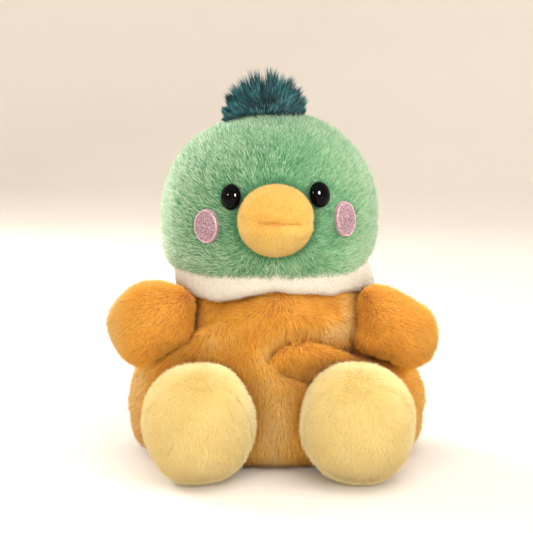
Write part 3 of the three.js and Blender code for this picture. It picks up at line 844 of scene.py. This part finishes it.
# Polyester plush, dyed pale yellow and sheared evenly: an almost plain, velvety surface.
yellow = plush_materials(
    "yellow", "polyester", "#E0BC62", "#EDCF7E",
    roots=[(0.0, "#EED082"), (0.5, "#F5DC90"), (1.0, "#F9E9B4")],
    tips=[(0.0, "#EAC974"), (0.45, "#F9DE92"), (0.75, "#FCEDBC"), (1.0, "#FEF8E2")],
)
SOLE_START = 5 * mm
SOLE_LEAN = math.radians(20)
SOLE_SEAM = 1.3 * mm  # its half-width
FOOT_INSET = 1.1 * mm
FOOT_FLOOR = 0.4 * mm
FOOT_PILE = {
    "Tufts per square metre": 1.2e7, "Length": 2.4 * mm, "Width": 0.28 * mm, "Straying": 0.4,
    "Lean": 0.55, "Clump pull": 0.2, "Clump tone": 0.08, "Tone spread": 0.08,
}

for side, name in SIDES:
    form = limb_form("foot", side)

    def with_sole(p, d, form=form):
        local = p - form["centre"]
        ahead = -local[:, 1] * math.cos(SOLE_LEAN) - local[:, 2] * math.sin(SOLE_LEAN) - SOLE_START
        seam = -0.45 * bell(ahead, SOLE_SEAM)
        soft = 0.3 * waves(p, 16 * mm, 51)
        return p + d * ((seam + soft) * mm)[:, None]

    body = name + "_foot"
    put_fill(body + "_stuffing", form, FOOT_INSET, with_sole, body, floor=FOOT_FLOOR + FILL_DEPTH)
    fabric = swell(body + "_fabric", form, -FOOT_INSET, 6, with_sole, floor=FOOT_FLOOR)
    p = places(fabric)
    outwards = unit(p - form["centre"])
    comb = np.array((0, -0.6, -1.0)) + np.array((0.5, 0, 0)) * outwards
    # Painted rim light pales the sides, painted shade darkens the top a little, and the waves are random
    # tone.
    shade = 0.42 + 0.2 * smoothstep(0.85, 0.1, -outwards[:, 1]) + 0.05 * waves(p, 11 * mm, 61 + side)
    shade -= 0.06 * smoothstep(0.3, 0.9, outwards[:, 2])
    groom(fabric, comb, shade)
    piles = [(body + "_pile", ~(sewn_in(torso, p, name + "_hip") | (p[:, 2] < 0.7 * mm)), 5 + side)]
    nodes = [body + "_skin", body + "_sole"]
    finish_plush(fabric, yellow, body, "foot_plush", nodes, piles, **FOOT_PILE)

# Head
# A broad ball of green plush that is flat underneath, stuffed hard and tilted. Its pile is brushed away
# from the bill, up over the brow, round the cheeks and down the back.

NECK_HEIGHT = 58.7 * mm
HEAD_TURN, HEAD_TILT = math.radians(3), math.radians(-2.8)
neck = Matrix.Translation((0, SHIFT, NECK_HEIGHT))
head_lean = neck @ Matrix.Rotation(HEAD_TURN, 4, "Z") @ Matrix.Rotation(HEAD_TILT, 4, "Y")
head_lean = head_lean @ neck.inverted()
head_turn = np.array(head_lean.to_3x3())

head = {
    "centre": np.array((0, SHIFT, 77 * mm)),
    "half_width": 35.8 * mm,
    "front": 31 * mm,
    "back": 30 * mm,
    "up": 36.1 * mm,
    "down": 15.6 * mm,
    "up_curve": 2.35,
    "down_curve": 4.6,
}
BILL_HEIGHT = 80.4 * mm
BILL_HALF_WIDTH = 11.4 * mm
BILL_ASIDE = -0.15 * mm
# Middles across and up. The photographed face isn't quite even.
EYE_PLACES = {1: (14.1 * mm, 87.4 * mm), -1: (-13.5 * mm, 88.1 * mm)}
CHEEK_PLACES = {1: (22.2 * mm, 79.1 * mm), -1: (-21.65 * mm, 79.15 * mm)}
# Half-widths and half-heights of the places that eyes, cheeks and bill leave without pile
EYES = [(*EYE_PLACES[side], 3.2 * mm, 3.9 * mm) for side in (1, -1)]
CHEEKS = [(*CHEEK_PLACES[side], 3.4 * mm, 5.35 * mm) for side in (1, -1)]
BILL = [(BILL_ASIDE, BILL_HEIGHT, BILL_HALF_WIDTH, 10.7 * mm)]
EYE_DENT = math.sqrt(0.5)  # how far round an eye its dent spreads, in shares of the eye
# Places across in millimetres, and how far the jowls hang there
JOWLS = [(-31, 0.3), (-24, 1.9), (-15, 2.6), (-8, 3.2), (-1, 3.6), (5, 3.9), (12, 4.7), (17, 5.3)]
JOWLS += [(22, 5.8), (25, 5.2), (31, 2.2)]
HEAD_PILE = {
    "Length": 2.3 * mm, "Straying": 0.5, "Clump size": 1.9 * mm, "Clump tone": 0.6, "Tone spread": 0.42
}


def drop_on(form, points, out):
    """Moves points along the direction out onto the form's surface."""
    far = np.full(len(points), 20 * mm)
    start = points - form["centre"]
    r = farthest(lambda r: is_inside(form, start + out * r[:, None]), -far, far, halvings=30)
    return points + out * r[:, None]


def front_seat(form, across, height):
    """A frame on the front of a form: X across the fabric, Y up it and Z out of it."""
    out = np.array((0, -1.0, 0))
    step = 0.6 * mm
    start = np.array([(across, form["centre"][1] - 20 * mm, height)])
    around = [(0, 0, 0), (step, 0, 0), (-step, 0, 0), (0, 0, step), (0, 0, -step)]
    at = [Vector(drop_on(form, start + np.array([move]), out)[0]) for move in around]
    z = (at[1] - at[2]).cross(at[3] - at[4]).normalized()
    x = Vector((0, 0, 1)).cross(z).normalized()
    y = z.cross(x)
    seat = Matrix((x, y, z)).transposed().to_4x4()
    seat.translation = at[0]
    return seat


def ovals(p, sizes):
    """How far places are from each oval patch on the face: 1 at its edge."""
    least = np.full(len(p), np.inf)
    for across, height, half_width, half_height in sizes:
        oval = np.hypot((p[:, 0] - across) / half_width, (p[:, 2] - height) / half_height)
        least = np.minimum(least, np.where(p[:, 1] < SHIFT, oval, np.inf))
    return least


def soft_face(p, d):
    x, z = across_and_up(p)
    dent = -0.9 * bell(np.maximum(ovals(p, EYES) - 0.8, 0), EYE_DENT)  # the eyes are pulled in
    seam = -0.6 * bell(x, BACK_SEAM) * smoothstep(-0.1, 0.3, d[:, 1])
    seam -= 0.5 * bell(x + 0.6, 1.2) * smoothstep(0, -0.3, d[:, 1]) * smoothstep(72, 68, z)
    soft = 0.45 * waves(p, 24 * mm, 5)
    p = p + d * ((dent + seam + soft) * mm)[:, None]
    # The jowls hang over the collar.
    hang = np.interp(x, *zip(*JOWLS)) * smoothstep(78, 66, z)
    p[:, 2] -= hang * mm * smoothstep(0.2, -0.4, d[:, 1])
    p[:, 0] -= 2.2 * mm * smoothstep(15, 33, x) * smoothstep(75, 63, z)  # drawn in by the neck's tilt
    p[:, 0] -= 0.45 * mm * smoothstep(5, 30, x) * smoothstep(63, 75, z)
    return p


def groom_on_head(fabric, comb, *grooming, **more):
    """What is sewn to the head leans with it, and so does the way its pile is combed."""
    fabric.data.transform(head_lean)
    fabric.data.update()
    groom(fabric, comb @ head_turn.T, *grooming, **more)


# Polyester plush, dyed green and left frosted at its tips: pale streaks over a deep green ground.
green = plush_materials(
    "green", "polyester", "#2F6642", "#42805A",
    roots=[(0.0, "#306C43"), (0.4, "#4E9260"), (0.7, "#7AB07E"), (1.0, "#A8CAA0")],
    tips=[(0.0, "#4C8C58"), (0.35, "#7AB47C"), (0.55, "#98C491"), (0.75, "#BAD8AC"), (1.0, "#E4EED4")],
)

put_fill("head_stuffing", head, PILE_DEPTH, soft_face, "head", lean=head_lean)
head_fabric = swell("head_fabric", head, -PILE_DEPTH, 6, soft_face)
p, n = places(head_fabric), normals(head_fabric)
x, z = across_and_up(p)
y = (p[:, 1] - SHIFT) / mm
bill_seat = front_seat(head, 0, BILL_HEIGHT)
away = p - np.array(bill_seat.translation)
distance = np.linalg.norm(away, axis=1) / mm
behind = smoothstep(-0.2, 0.8, n[:, 1])
comb = unit(away) * (1 - behind)[:, None] + np.array((0, 0.3, -1.0)) * behind[:, None]
comb[:, 2] += 0.9 * (1 - behind) * smoothstep(7, 20, np.abs(x))
under_bill = np.tanh((x + 0.6) / 2) * bell(x, 7) * smoothstep(74, 68, z)
comb[:, 0] += 0.25 * waves(p, 26 * mm, 71) + 0.5 * under_bill
# Painted light and shade: darkest round the bill, with a painted shade line along its edge, and painted paler
# away from it, towards the crown, on the light's side, on the chin and in a rim light along the flank
shade = 0.33 + 0.3 * smoothstep(14, 40, distance)
shade += 0.1 * smoothstep(5, 30, x) * smoothstep(70, 84, z) + 0.05 * waves(p, 14 * mm, 72)
shade += (0.13 + 0.1 * bell(x, 6)) * smoothstep(76, 68, z) * (1 - behind)
shade += 0.34 * smoothstep(0.75, 0.98, -n[:, 0])
shade -= 0.55 * smoothstep(1.16, 1.02, ovals(p, BILL))
near_patch = np.minimum(ovals(p, EYES), ovals(p, CHEEKS))
growth = 0.55 + 0.45 * smoothstep(1.0, 1.6, near_patch) - 0.4 * smoothstep(66, 60, z) * (1 - behind)
hidden = (near_patch < 0.95) | (distance < 9.5)
hidden |= (n[:, 2] < -0.7) & (np.hypot(x, y) < 23)  # over the neck
hidden |= (np.hypot(x / 9, y / 4.2) < 1) & (z > 100)  # under the crest
groom_on_head(head_fabric, comb, shade, growth, spread=1.05 - 0.5 * np.tanh(x / 12))
is_front = n[:, 1] < 0.0
piles = [("head_pile_front", is_front & ~hidden, 11), ("head_pile_back", ~is_front & ~hidden, 12)]
finish_plush(head_fabric, green, "head", "green_plush", ["head_skin"], piles, fill=0.8, **HEAD_PILE)

# Bill
# A ball of yellow velour with short dense pile, stuffed and sewn to the face. A line of stitches pulled
# through its middle makes the mouth.

bill_face = bill_seat.translation.y
bill_centre = (BILL_ASIDE, bill_face, BILL_HEIGHT - 0.05 * mm)
bill = ball(bill_centre, BILL_HALF_WIDTH, 11 * mm, 7 * mm, 10.75 * mm, 2.08)
# Places across and over the bill's middle, in millimetres
MOUTH = [(-9, 0.2), (-4.6, -0.1), (-1.6, -0.2), (-0.7, -0.35), (6.1, -0.9), (10, -1.1)]
BILL_PILE = {
    "Tufts per square metre": 2.0e7, "Length": 1.3 * mm, "Width": 0.2 * mm, "Lean": 0.42,
    "Clump size": 1.6 * mm, "Clump pull": 0.3, "Clump tone": 0.35, "Tone spread": 0.2,
}


def with_mouth(p, d):
    x, z = across_and_up(p, BILL_HEIGHT)
    distance = line_distance(x, z, MOUTH)[0]
    depth = 1.2 * smoothstep(8.2, 4.5, np.abs(x - 0.6))
    front = smoothstep(0.1, 0.5, -d[:, 1])
    crease = -depth * bell(distance, 0.8) * front
    crease -= 0.3 * bell(x - 0.4, 0.8) * smoothstep(-3, -5, z) * front  # the seam under the mouth
    lips = 0.35 * bell(distance - 2.4, 1.6) * front * smoothstep(10.5, 7.5, np.abs(x))
    return p + d * ((crease + lips) * mm)[:, None]


# Polyester velour, dyed yellow and sheared short: a dense, even nap, with painted shade along the mouth's
# crease and round its edge.
golden = plush_materials(
    "golden", "velour", "#D09238", "#E0A548",
    roots=[(0.0, "#D8A040"), (0.5, "#EEC058"), (1.0, "#F3CE72")],
    tips=[(0.0, "#E0A846"), (0.45, "#F2C660"), (0.75, "#F7D378"), (1.0, "#FCE4A0")],
)
bill_fabric = swell("bill_fabric", bill, -0.55 * mm, 6, with_mouth)
p, n = places(bill_fabric), normals(bill_fabric)
x, z = across_and_up(p, BILL_HEIGHT)
# The pile is brushed away from the mouth, and turns gradually there.
from_mouth = np.tanh((z - np.interp(x, *zip(*MOUTH))) / 1.6)
aside = np.sqrt(1 - from_mouth**2) * np.tanh(x)
comb = np.stack([aside, smoothstep(7, 11, np.abs(x)), from_mouth], axis=1)
distance = line_distance(x, z, MOUTH)[0]
at_mouth = bell(distance, 0.6) * smoothstep(9, 5, np.abs(x - 1))
# Painted light and shade: the lower half is lighter than the upper, against the light from above, painted
# shade lies along the mouth's crease and on the edge that turns back to the face, and the waves are random
# tone.
shade = 0.48 - 0.16 * from_mouth + 0.04 * waves(p, 8 * mm, 81) - 0.14 * at_mouth
shade -= 0.3 * smoothstep(-0.05, 0.3, n[:, 1])
groom_on_head(bill_fabric, comb, shade, 0.65 + 0.35 * smoothstep(0.3, 1.5, distance))
piles = [("bill_pile", ~is_buried(head, p, 1.5 * mm), 13)]
finish_plush(bill_fabric, golden, "head", "bill_plush", ["beak_skin"], piles, fill=0.8, **BILL_PILE)

# Mouth thread
# A strand of orange embroidery thread laid in the bill's crease and pulled tight at both ends.

THREAD_RADIUS = 0.22 * mm
THREAD_ENDS = (-6.0, 7.6)
THREAD_POINTS = 70


def make_tube(name, points, radius, plies=2, twist=1.6 * mm, sides=10):
    """A closed round thread through points, with the dents of its twisted plies."""
    points = np.array(points)
    tangents = unit(np.gradient(points, axis=0))
    side = unit(np.cross(tangents, np.array((0, -1.0, 0.2))))
    up = np.cross(side, tangents)
    passed = np.concatenate([[0], np.cumsum(np.linalg.norm(np.diff(points, axis=0), axis=1))])
    a = 2 * math.pi * np.arange(sides) / sides
    r = radius * (1 - 0.18 * np.abs(np.sin(plies / 2 * (a[None, :] - 2 * math.pi * passed[:, None] / twist))))
    ring = side[:, None] * np.cos(a)[None, :, None] + up[:, None] * np.sin(a)[None, :, None]
    verts = (points[:, None] + ring * r[:, :, None]).reshape(-1, 3)
    count, rounded = len(points), radius * 0.7
    ends = [points[0] - tangents[0] * rounded, points[-1] + tangents[-1] * rounded]
    faces = band_faces(count, sides) + fan_faces(count * sides, 0, sides, flipped=True)
    faces += fan_faces(count * sides + 1, (count - 1) * sides, sides)
    tube = make_mesh(name, np.concatenate([verts, ends]), faces)
    bm = bmesh.new()
    bm.from_mesh(tube.data)
    bmesh.ops.recalc_face_normals(bm, faces=bm.faces)
    bm.to_mesh(tube.data)
    bm.free()
    return tube


across = np.linspace(*THREAD_ENDS, THREAD_POINTS)
height = np.interp(across, *zip(*MOUTH))
start = np.stack([across * mm, 0 * across + bill_face - 2 * mm, BILL_HEIGHT + height * mm], axis=1)
line = drop_on(bill, start, np.array((0, -1.0, 0)))
inwards = unit(line - bill["centre"])
# It lies in the crease's bottom, but comes up beside the middle and at the ends.
thread_depth = 1.3 - 0.5 * np.abs((across - 1) / 7) ** 3 - 0.35 * bell(across + 2.2, 2)
thread_depth += 0.28 * np.sin(2.3 * across + 1)
line -= inwards * (thread_depth * mm)[:, None]
# Rayon embroidery thread, spun from two plies: a slightly shiny cord with slanting dents.
thread = new_material("orange_embroidery_thread", Base_Color="#CC841E", Roughness=0.7)[0]
mouth_thread = make_tube("mouth_stitches", carried(line, head_lean), THREAD_RADIUS)
fit(mouth_thread, thread, "head", "mouth_thread", "mouth_thread")

# Eyes
# Domed black plastic, moulded in one with a shank that goes through the fabric to a washer.

# Black polypropylene, moulded and polished: near black, with small sharp reflections of the windows.
eye_plastic = new_material(
    "moulded_black_polypropylene", Base_Color="#040404", Roughness=0.05, Specular_IOR_Level=0.08
)[0]
EYE_TURNS = {1: 9, -1: -18}  # both eyes are set turned a little outwards
EYE_RADIUS, EYE_HALF_WIDTH = 4.05, 3.45
DOME_START, DOME_RISE, EYE_TOP = -0.2, 2.6, 2.4
# Radius and height over the fabric in millimetres: the shank, the rim and then the dome
EYE_PROFILE = [(1.4, -7), (1.4, -1.0), (3.2, -1.0), (3.9, -0.8)]
EYE_PROFILE += [(EYE_RADIUS, -0.45), (EYE_RADIUS, DOME_START)]
for a in np.linspace(0, math.pi / 2, 14)[1:-1]:
    EYE_PROFILE.append((EYE_RADIUS * math.cos(a), DOME_START + DOME_RISE * math.sin(a)))


def make_turned(name, profile, top, seat, squeeze, sides=56):
    """A closed turned shape, from its profile of radius and height, narrowed across by squeeze."""
    verts = [(0, 0, profile[0][1] * mm)]
    for radius, height in profile:
        for i in range(sides):
            a = 2 * math.pi * i / sides
            verts.append((radius * squeeze * math.cos(a) * mm, radius * math.sin(a) * mm, height * mm))
    verts.append((0, 0, top * mm))
    last = len(verts) - 1
    faces = fan_faces(0, 1, sides, flipped=True) + band_faces(len(profile), sides, first=1)
    turned = make_mesh(name, verts, faces + fan_faces(last, last - sides, sides))
    turned.data.transform(seat)
    return turned


for side, name in SIDES:
    seat = front_seat(head, *EYE_PLACES[side])
    seat = seat @ Matrix.Rotation(math.radians(EYE_TURNS[side]), 4, "Y")
    squeeze = EYE_HALF_WIDTH / EYE_RADIUS
    eye = make_turned(name + "_eye_dome", EYE_PROFILE, EYE_TOP, head_lean @ seat, squeeze)
    fit(eye, eye_plastic, "head", "eye_plastic", name + "_eye")

# Cheeks
# An oval patch on each cheek, filled with rows of mauve thread and edged with a pink satin stitch.

# Polyester embroidery thread in mauve, machine-stitched in rows: a speckled, half-matt patch. The stitches
# are about 0.34 mm across, and those of the pink satin rim lie closer, in shiny bundles 0.7 mm wide.
cheek_fill = patterned_material(
    "mauve_embroidery_thread", "ShaderNodeTexNoise", 0.34 * mm,
    [(0.35, "#4A303A"), (0.5, "#7A5862"), (0.65, "#B68E98")], Roughness=0.55, Sheen_Weight=0.3,
)[0]
cheek_edge = patterned_material(
    "pink_satin_thread", "ShaderNodeTexNoise", 0.7 * mm, [(0.3, "#906369"), (0.7, "#C2979B")],
    Roughness=0.42, Sheen_Weight=0.4,
)[0]

CHEEK_SIZES = {1: (3.9, 5.6), -1: (4.3, 5.35)}  # half-width and half-height in millimetres
CHEEK_DEPTH = 1.7 * mm
ROW_SPACING = 0.55
# As shares of the way out from the patch's middle
RIM_MIDDLE, RIM_HALF_WIDTH, EDGE_START = 0.93, 0.09, 0.86
RIM_STITCHES = 68
AROUND, RINGS = 192, 22

for side, name in SIDES:
    seat = front_seat(head, *CHEEK_PLACES[side])
    half_width, half_height = CHEEK_SIZES[side]
    out = np.array(seat.to_3x3() @ Vector((0, 0, 1)))
    a = 2 * math.pi * np.arange(AROUND) / AROUND
    r = np.linspace(0, 1, RINGS + 1)[1:]
    u = (r[:, None] * half_width * np.cos(a)).ravel()
    v = (r[:, None] * half_height * np.sin(a)).ravel()
    share, angle = np.repeat(r, AROUND), np.tile(a, RINGS)
    # The rim is a ridge of satin stitches, and the slanting rows inside it lie lower.
    edge = smoothstep(0.83, 0.88, share)
    ridge = np.sqrt(np.clip(1 - ((share - RIM_MIDDLE) / RIM_HALF_WIDTH) ** 2, 0, 1))
    satin = (0.5 + 0.08 * np.abs(np.sin(RIM_STITCHES / 2 * angle))) * ridge
    stitches = np.abs(np.sin(math.pi * (0.9 * u + 0.35 * v) / ROW_SPACING))
    rows = 0.35 + 0.09 * stitches + 0.05 * np.sin(7 * v + 3 * u)
    rise = np.where(share > 0.85, satin * edge + rows * (1 - edge), rows)
    rise = np.where(share > 0.985, -1.2, rise)  # the rim is sewn down into the fabric
    flat = np.concatenate([[(0, 0, 0)], np.stack([u * mm, v * mm, 0 * u], axis=1)])
    rise = np.concatenate([[0.4], rise])
    verts = drop_on(head, carried(flat, seat), out) + out * (rise * mm)[:, None]
    verts = np.concatenate([verts, [verts[0] - out * CHEEK_DEPTH]])
    last = len(verts) - 1
    faces = fan_faces(0, 1, AROUND) + band_faces(RINGS, AROUND, first=1, flipped=True)
    faces += fan_faces(last, last - AROUND, AROUND, flipped=True)
    patch = make_mesh(name + "_cheek_patch", carried(verts, head_lean), faces)
    fit(patch, cheek_fill, "head", "cheek_satin", name + "_cheek")
    patch.data.materials.append(cheek_edge)
    edge_from = AROUND + int(EDGE_START * RINGS) * AROUND
    patch.data.polygons.foreach_set("material_index", [int(i > edge_from) for i in range(len(faces))])

# Crest
# A fan of long teal pile sewn into the crown. Its fibres hold together in pointed locks.

# Long acrylic pile, dyed teal and teased into locks: almost black inside, with blue-green glints at the tips.
teal = plush_materials(
    "teal", "long_acrylic", "#081A1D", "#10292D",
    roots=[(0.0, "#020D10"), (0.5, "#051A1E"), (1.0, "#0C2C31")],
    tips=[(0.0, "#031C20"), (0.4, "#06363A"), (0.7, "#145C60"), (1.0, "#62B4B2")],
    sheen=0.0,
    tip_start=0.3,
    tip_end=1.0,
)
long_tuft = make_spike("long_tuft", [(0, 1.0), (0.55, 0.8)], bend=0.04)

CREST_ROOT = 106 * mm
CREST_START = 110.2 * mm  # no pile grows lower on the crest's base
CREST_HALF_DEPTH = 12.5
crest_base = ball((-0.6 * mm, SHIFT, 110.6 * mm), 11.2 * mm, 5 * mm, 5 * mm, 3.6 * mm, 2)
# The photographed locks, seen from the front: the angle from upright of each, and how far it reaches
LOCKS = [(-68, 15.8), (-57, 17.5), (-43, 19.0), (-34, 19.8), (-22, 20.4), (-9, 21.6), (7, 21.9), (16, 20.7)]
LOCKS += [(28, 20.4), (39, 19.2), (50, 18.1), (60, 15.6)]
ROW, ROW_SHIFT = 24, 5  # degrees from one row of locks to the next, and how far every second one is moved
LOOSE_ACROSS, LOOSE_BACK = 0.3, 0.4  # how much of its own way a fibre keeps within its lock
CREST_PILE = {
    "Tufts per square metre": 4.6e7, "Length": 1.0 * mm, "Width": 0.32 * mm, "Lean": 1.0,
    "Straying": 0.135, "Clump size": 2.5 * mm, "Clump pull": 0.12, "Clump tone": 0.8, "Tone spread": 0.5,
}

crest_fabric = swell("crest_base", crest_base, 0, 5)
p = places(crest_fabric)
root = np.array((0, SHIFT, CREST_ROOT))
way = unit(p - root)
fan = np.degrees(np.arctan2(way[:, 0], way[:, 2]))
tip_lean = np.degrees(np.arctan2(way[:, 1], np.hypot(way[:, 0], way[:, 2])))
row = np.round(tip_lean / ROW)
lock_angles, lock_reaches = np.array(LOCKS).T
# Each row of locks stands between those of the next, and a lock's fibres lean together.
shift = np.where(row % 2 == 0, 0, ROW_SHIFT)
nearest = np.argmin(np.abs(fan[:, None] + shift[:, None] - lock_angles[None, :]), axis=1)
lock = lock_angles[nearest] - shift
aside = fan - lock
fan = np.radians(lock + aside * LOOSE_ACROSS)
tip_lean = np.radians(row * ROW + (tip_lean - row * ROW) * LOOSE_BACK)
way = [np.sin(fan) * np.cos(tip_lean), np.sin(tip_lean), np.cos(fan) * np.cos(tip_lean)]
full = 1 / np.hypot(np.cos(tip_lean) / lock_reaches[nearest], np.sin(tip_lean) / CREST_HALF_DEPTH)
pointed = 1 - 0.15 * np.minimum(np.abs(aside) / 6, 1.3) ** 1.5  # shorter beside a lock's middle
length = 0.95 * (full * mm * pointed - np.linalg.norm(p - root, axis=1))
shade = 0.42 + 0.1 * np.sin(1.9 * nearest + 1 + 3 * row)
groom_on_head(crest_fabric, np.stack(way, axis=1), shade, growth=length / mm, lies_flat=False)
fit(crest_fabric, teal[0], "head", "crest_pile", "crest_tuft")
is_top = p[:, 2] > CREST_START
lay_pile(
    "crest_pile", crest_fabric, teal[1], "head", "crest_pile", is_top, 14, tuft=long_tuft, **CREST_PILE
)

# Collar
# A band of cream fleece that covers the seam between the head and the torso.

# Polyester fleece, dyed cream and napped: short curled fibres that scatter the light to a soft white.
cream = plush_materials(
    "cream", "fleece", "#E2D6C0", "#F0E6D4",
    roots=[(0.0, "#EADFCB"), (0.5, "#F4EBDB"), (1.0, "#FAF4E9")],
    tips=[(0.0, "#EEE4D2"), (0.45, "#F5EEDF"), (1.0, "#FFFDF8")],
    sheen=0.3,
)
COLLAR_HALF_WIDTH, COLLAR_HALF_DEPTH = 32.4, 28.4
COLLAR_HALF_THICKNESS, COLLAR_INSET = 2.4, 2.6
COLLAR_TOP, COLLAR_BACK = 65.4, 54.5  # heights of its top, and of its lower edge behind
COLLAR_POINTS = (220, 24)  # round the neck, and round its section
# Places across and up in millimetres of the lower edge in front
LOWER_EDGE = [(-33, 57), (-25, 55.2), (-19, 54.8), (-15, 55.1), (-11.5, 55.9), (-8.4, 57.4), (-4.9, 58.1)]
LOWER_EDGE += [(-0.4, 58.6), (4, 58.0), (10, 57.4), (16, 57.3), (21.5, 57.1), (26, 56.8), (33, 56.4)]
COLLAR_PILE = {
    "Tufts per square metre": 1.1e7, "Length": 1.5 * mm, "Width": 0.26 * mm, "Lean": 0.5,
    "Clump size": 3 * mm, "Clump pull": 0.25, "Clump tone": 0.12, "Tone spread": 0.1,
}

a, t = [2 * math.pi * np.arange(count) / count for count in COLLAR_POINTS]
bottom = np.interp(32.6 * np.cos(a), *zip(*LOWER_EDGE))
is_ahead = smoothstep(0.0, 0.35, -np.sin(a))
bottom = COLLAR_BACK * (1 - is_ahead) + bottom * is_ahead
bottom += 0.25 * np.sin(9 * a + 1) + 0.2 * np.sin(15 * a)
# The section has soft corners.
c, s = [np.sign(wave) * np.abs(wave) ** 0.75 for wave in (np.cos(t), np.sin(t))]
outwards = (COLLAR_HALF_THICKNESS * c - COLLAR_INSET)[None, :] + 0.25 * np.sin(7 * a + 2)[:, None] * (c > 0)
z = (bottom[:, None] + COLLAR_TOP) / 2 + (COLLAR_TOP - bottom[:, None]) / 2 * s[None, :]
# Its back is drawn in to the torso.
outwards = outwards - 3.0 * smoothstep(60, 54.5, z) * smoothstep(0, 0.4, np.sin(a))[:, None]
# The band widens towards the wing on the left, and towards the head on the right.
sideways = np.cos(a)[:, None]
flare = -np.abs(sideways) ** 1.5 * (0.52 + 0.12 * sideways + (z - 60) * (0.12 + 0.18 * sideways))
x = (COLLAR_HALF_WIDTH + outwards + flare) * np.cos(a)[:, None]
y = (COLLAR_HALF_DEPTH + outwards + flare) * np.sin(a)[:, None] + SHIFT / mm
verts = np.stack([x, y, z], axis=2).reshape(-1, 3) * mm
collar_fabric = make_mesh("collar_fabric", verts, band_faces(*COLLAR_POINTS, flipped=True, closed=True))
p, n = places(collar_fabric), normals(collar_fabric)
outward = unit(p * np.array((1, 1, 0)) - np.array((0, SHIFT, 0)))
is_outside = np.sum(n * outward, axis=1) > -0.1
down = np.broadcast_to(np.array((0, 0, -1.0)), p.shape)
groom(collar_fabric, down, 0.5 + 0.06 * waves(p, 9 * mm, 91))
piles = [("collar_pile", is_outside, 15)]
piles = finish_plush(
    collar_fabric, cream, None, "cream_fleece", ["collar_band"], piles, fill=0.5, **COLLAR_PILE
)
for piece in (collar_fabric, *piles):
    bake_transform(piece)

for spike in (plush_tuft, long_tuft):
    bpy.data.objects.remove(spike)

# Inside of the duck
# Polyester fibre fills every form, a cloth bag of plastic pellets weighs down the seat, and a plastic
# washer holds each eye. None of it shows from outside.

# Plain-woven cotton, unbleached: matt, with threads 0.5 mm apart.
bag_cloth, tree, shader = new_material("woven_cotton", Roughness=0.9)
where = add_node(tree, "ShaderNodeTexCoord")
threads = {"Color1": linear("#D9D5CB"), "Color2": linear("#CBC6BA"), "Scale": 1 / (0.5 * mm)}
weave = add_node(tree, "ShaderNodeTexChecker", {"Vector": where.outputs["Object"], **threads})
tree.links.new(weave.outputs[0], shader.inputs["Base Color"])
# Polyethylene granules, 3 mm wide as extruded and cut: rounded, milky and a little shiny.
pellets = patterned_material(
    "polyethylene_granules", "ShaderNodeTexVoronoi", 3 * mm, [(0.1, "#DDE0E2"), (0.7, "#8E9498")],
    "Distance", Roughness=0.4,
)[0]
# Natural polypropylene, moulded: off-white and smooth.
washer = new_material("moulded_polypropylene", Base_Color="#E8E6E0", Roughness=0.35)[0]

INSIDE = {"stuffing": fibre, "pellet_bag": bag_cloth, "pellet_fill": pellets, "washer": washer}
for name, node in frame["nodes"].items():
    for word, material in INSIDE.items():
        if word in name:
            node.data.materials.clear()
            node.data.materials.append(material)

# Floor and light
# A pale floor that rises far off, and soft daylight: before the duck, above it, and behind its right side.

# Paper backdrop, matt, in a warm pale grey: it shows nothing but soft shadows.
paper = new_material("matt_paper", Base_Color="#E2D9CD", Roughness=0.95)[0]
# Radius and height of the rings that the floor is turned from, in metres
BOWL = [(0.9, 0.0), (1.15, 0.02), (1.35, 0.09), (1.5, 0.22), (1.58, 0.4), (1.6, 0.65), (1.6, 1.6)]
TURNS = 96
LIT_PLACE = Vector((0, 0, 0.06))  # what each light panel faces

verts = [(0, 0, 0)]
for radius, height in BOWL:
    for i in range(TURNS):
        a = 2 * math.pi * i / TURNS
        verts.append((radius * math.cos(a), radius * math.sin(a), height))
faces = fan_faces(0, 1, TURNS) + band_faces(len(BOWL), TURNS, first=1, flipped=True)
floor = make_mesh("floor", verts, faces)
floor.data.materials.append(paper)


def add_panel(name, place, size, power, mirrored=False):
    lamp = bpy.data.lights.new(name, "AREA")
    lamp.energy = power
    lamp.shape = "SQUARE"
    lamp.size = size
    panel = bpy.data.objects.new(name, lamp)
    panel.location = place
    panel.rotation_euler = (LIT_PLACE - Vector(place)).to_track_quat("-Z", "Y").to_euler()
    # Only the small windows show in the eyes, and they light nothing else.
    panel.visible_glossy = mirrored
    panel.visible_diffuse = not mirrored
    panel.visible_camera = False
    bpy.context.scene.collection.objects.link(panel)


# Each panel's place and width in metres, and its power in watts
add_panel("front_window", (-0.25, -1.1, 0.4), 0.8, 10.0)
add_panel("side_fill", (0.9, -0.6, 0.35), 0.8, 7.5)
add_panel("ceiling", (0.25, -0.25, 1.1), 1.0, 8.0)
add_panel("back_window", (-0.6, 0.45, 0.45), 0.5, 7.0)
add_panel("small_window", (0.23, -0.62, 0.33), 0.2, 27.0, mirrored=True)
add_panel("far_window", (-0.54, -0.38, 0.3), 0.08, 2.4, mirrored=True)

world = bpy.data.worlds.new("room_light")
world.use_nodes = True
background = world.node_tree.nodes["Background"]
background.inputs["Color"].default_value = linear("#F1F2F4")
background.inputs["Strength"].default_value = 0.75
bpy.context.scene.world = world
bpy.context.scene.view_settings.view_transform = "Standard"
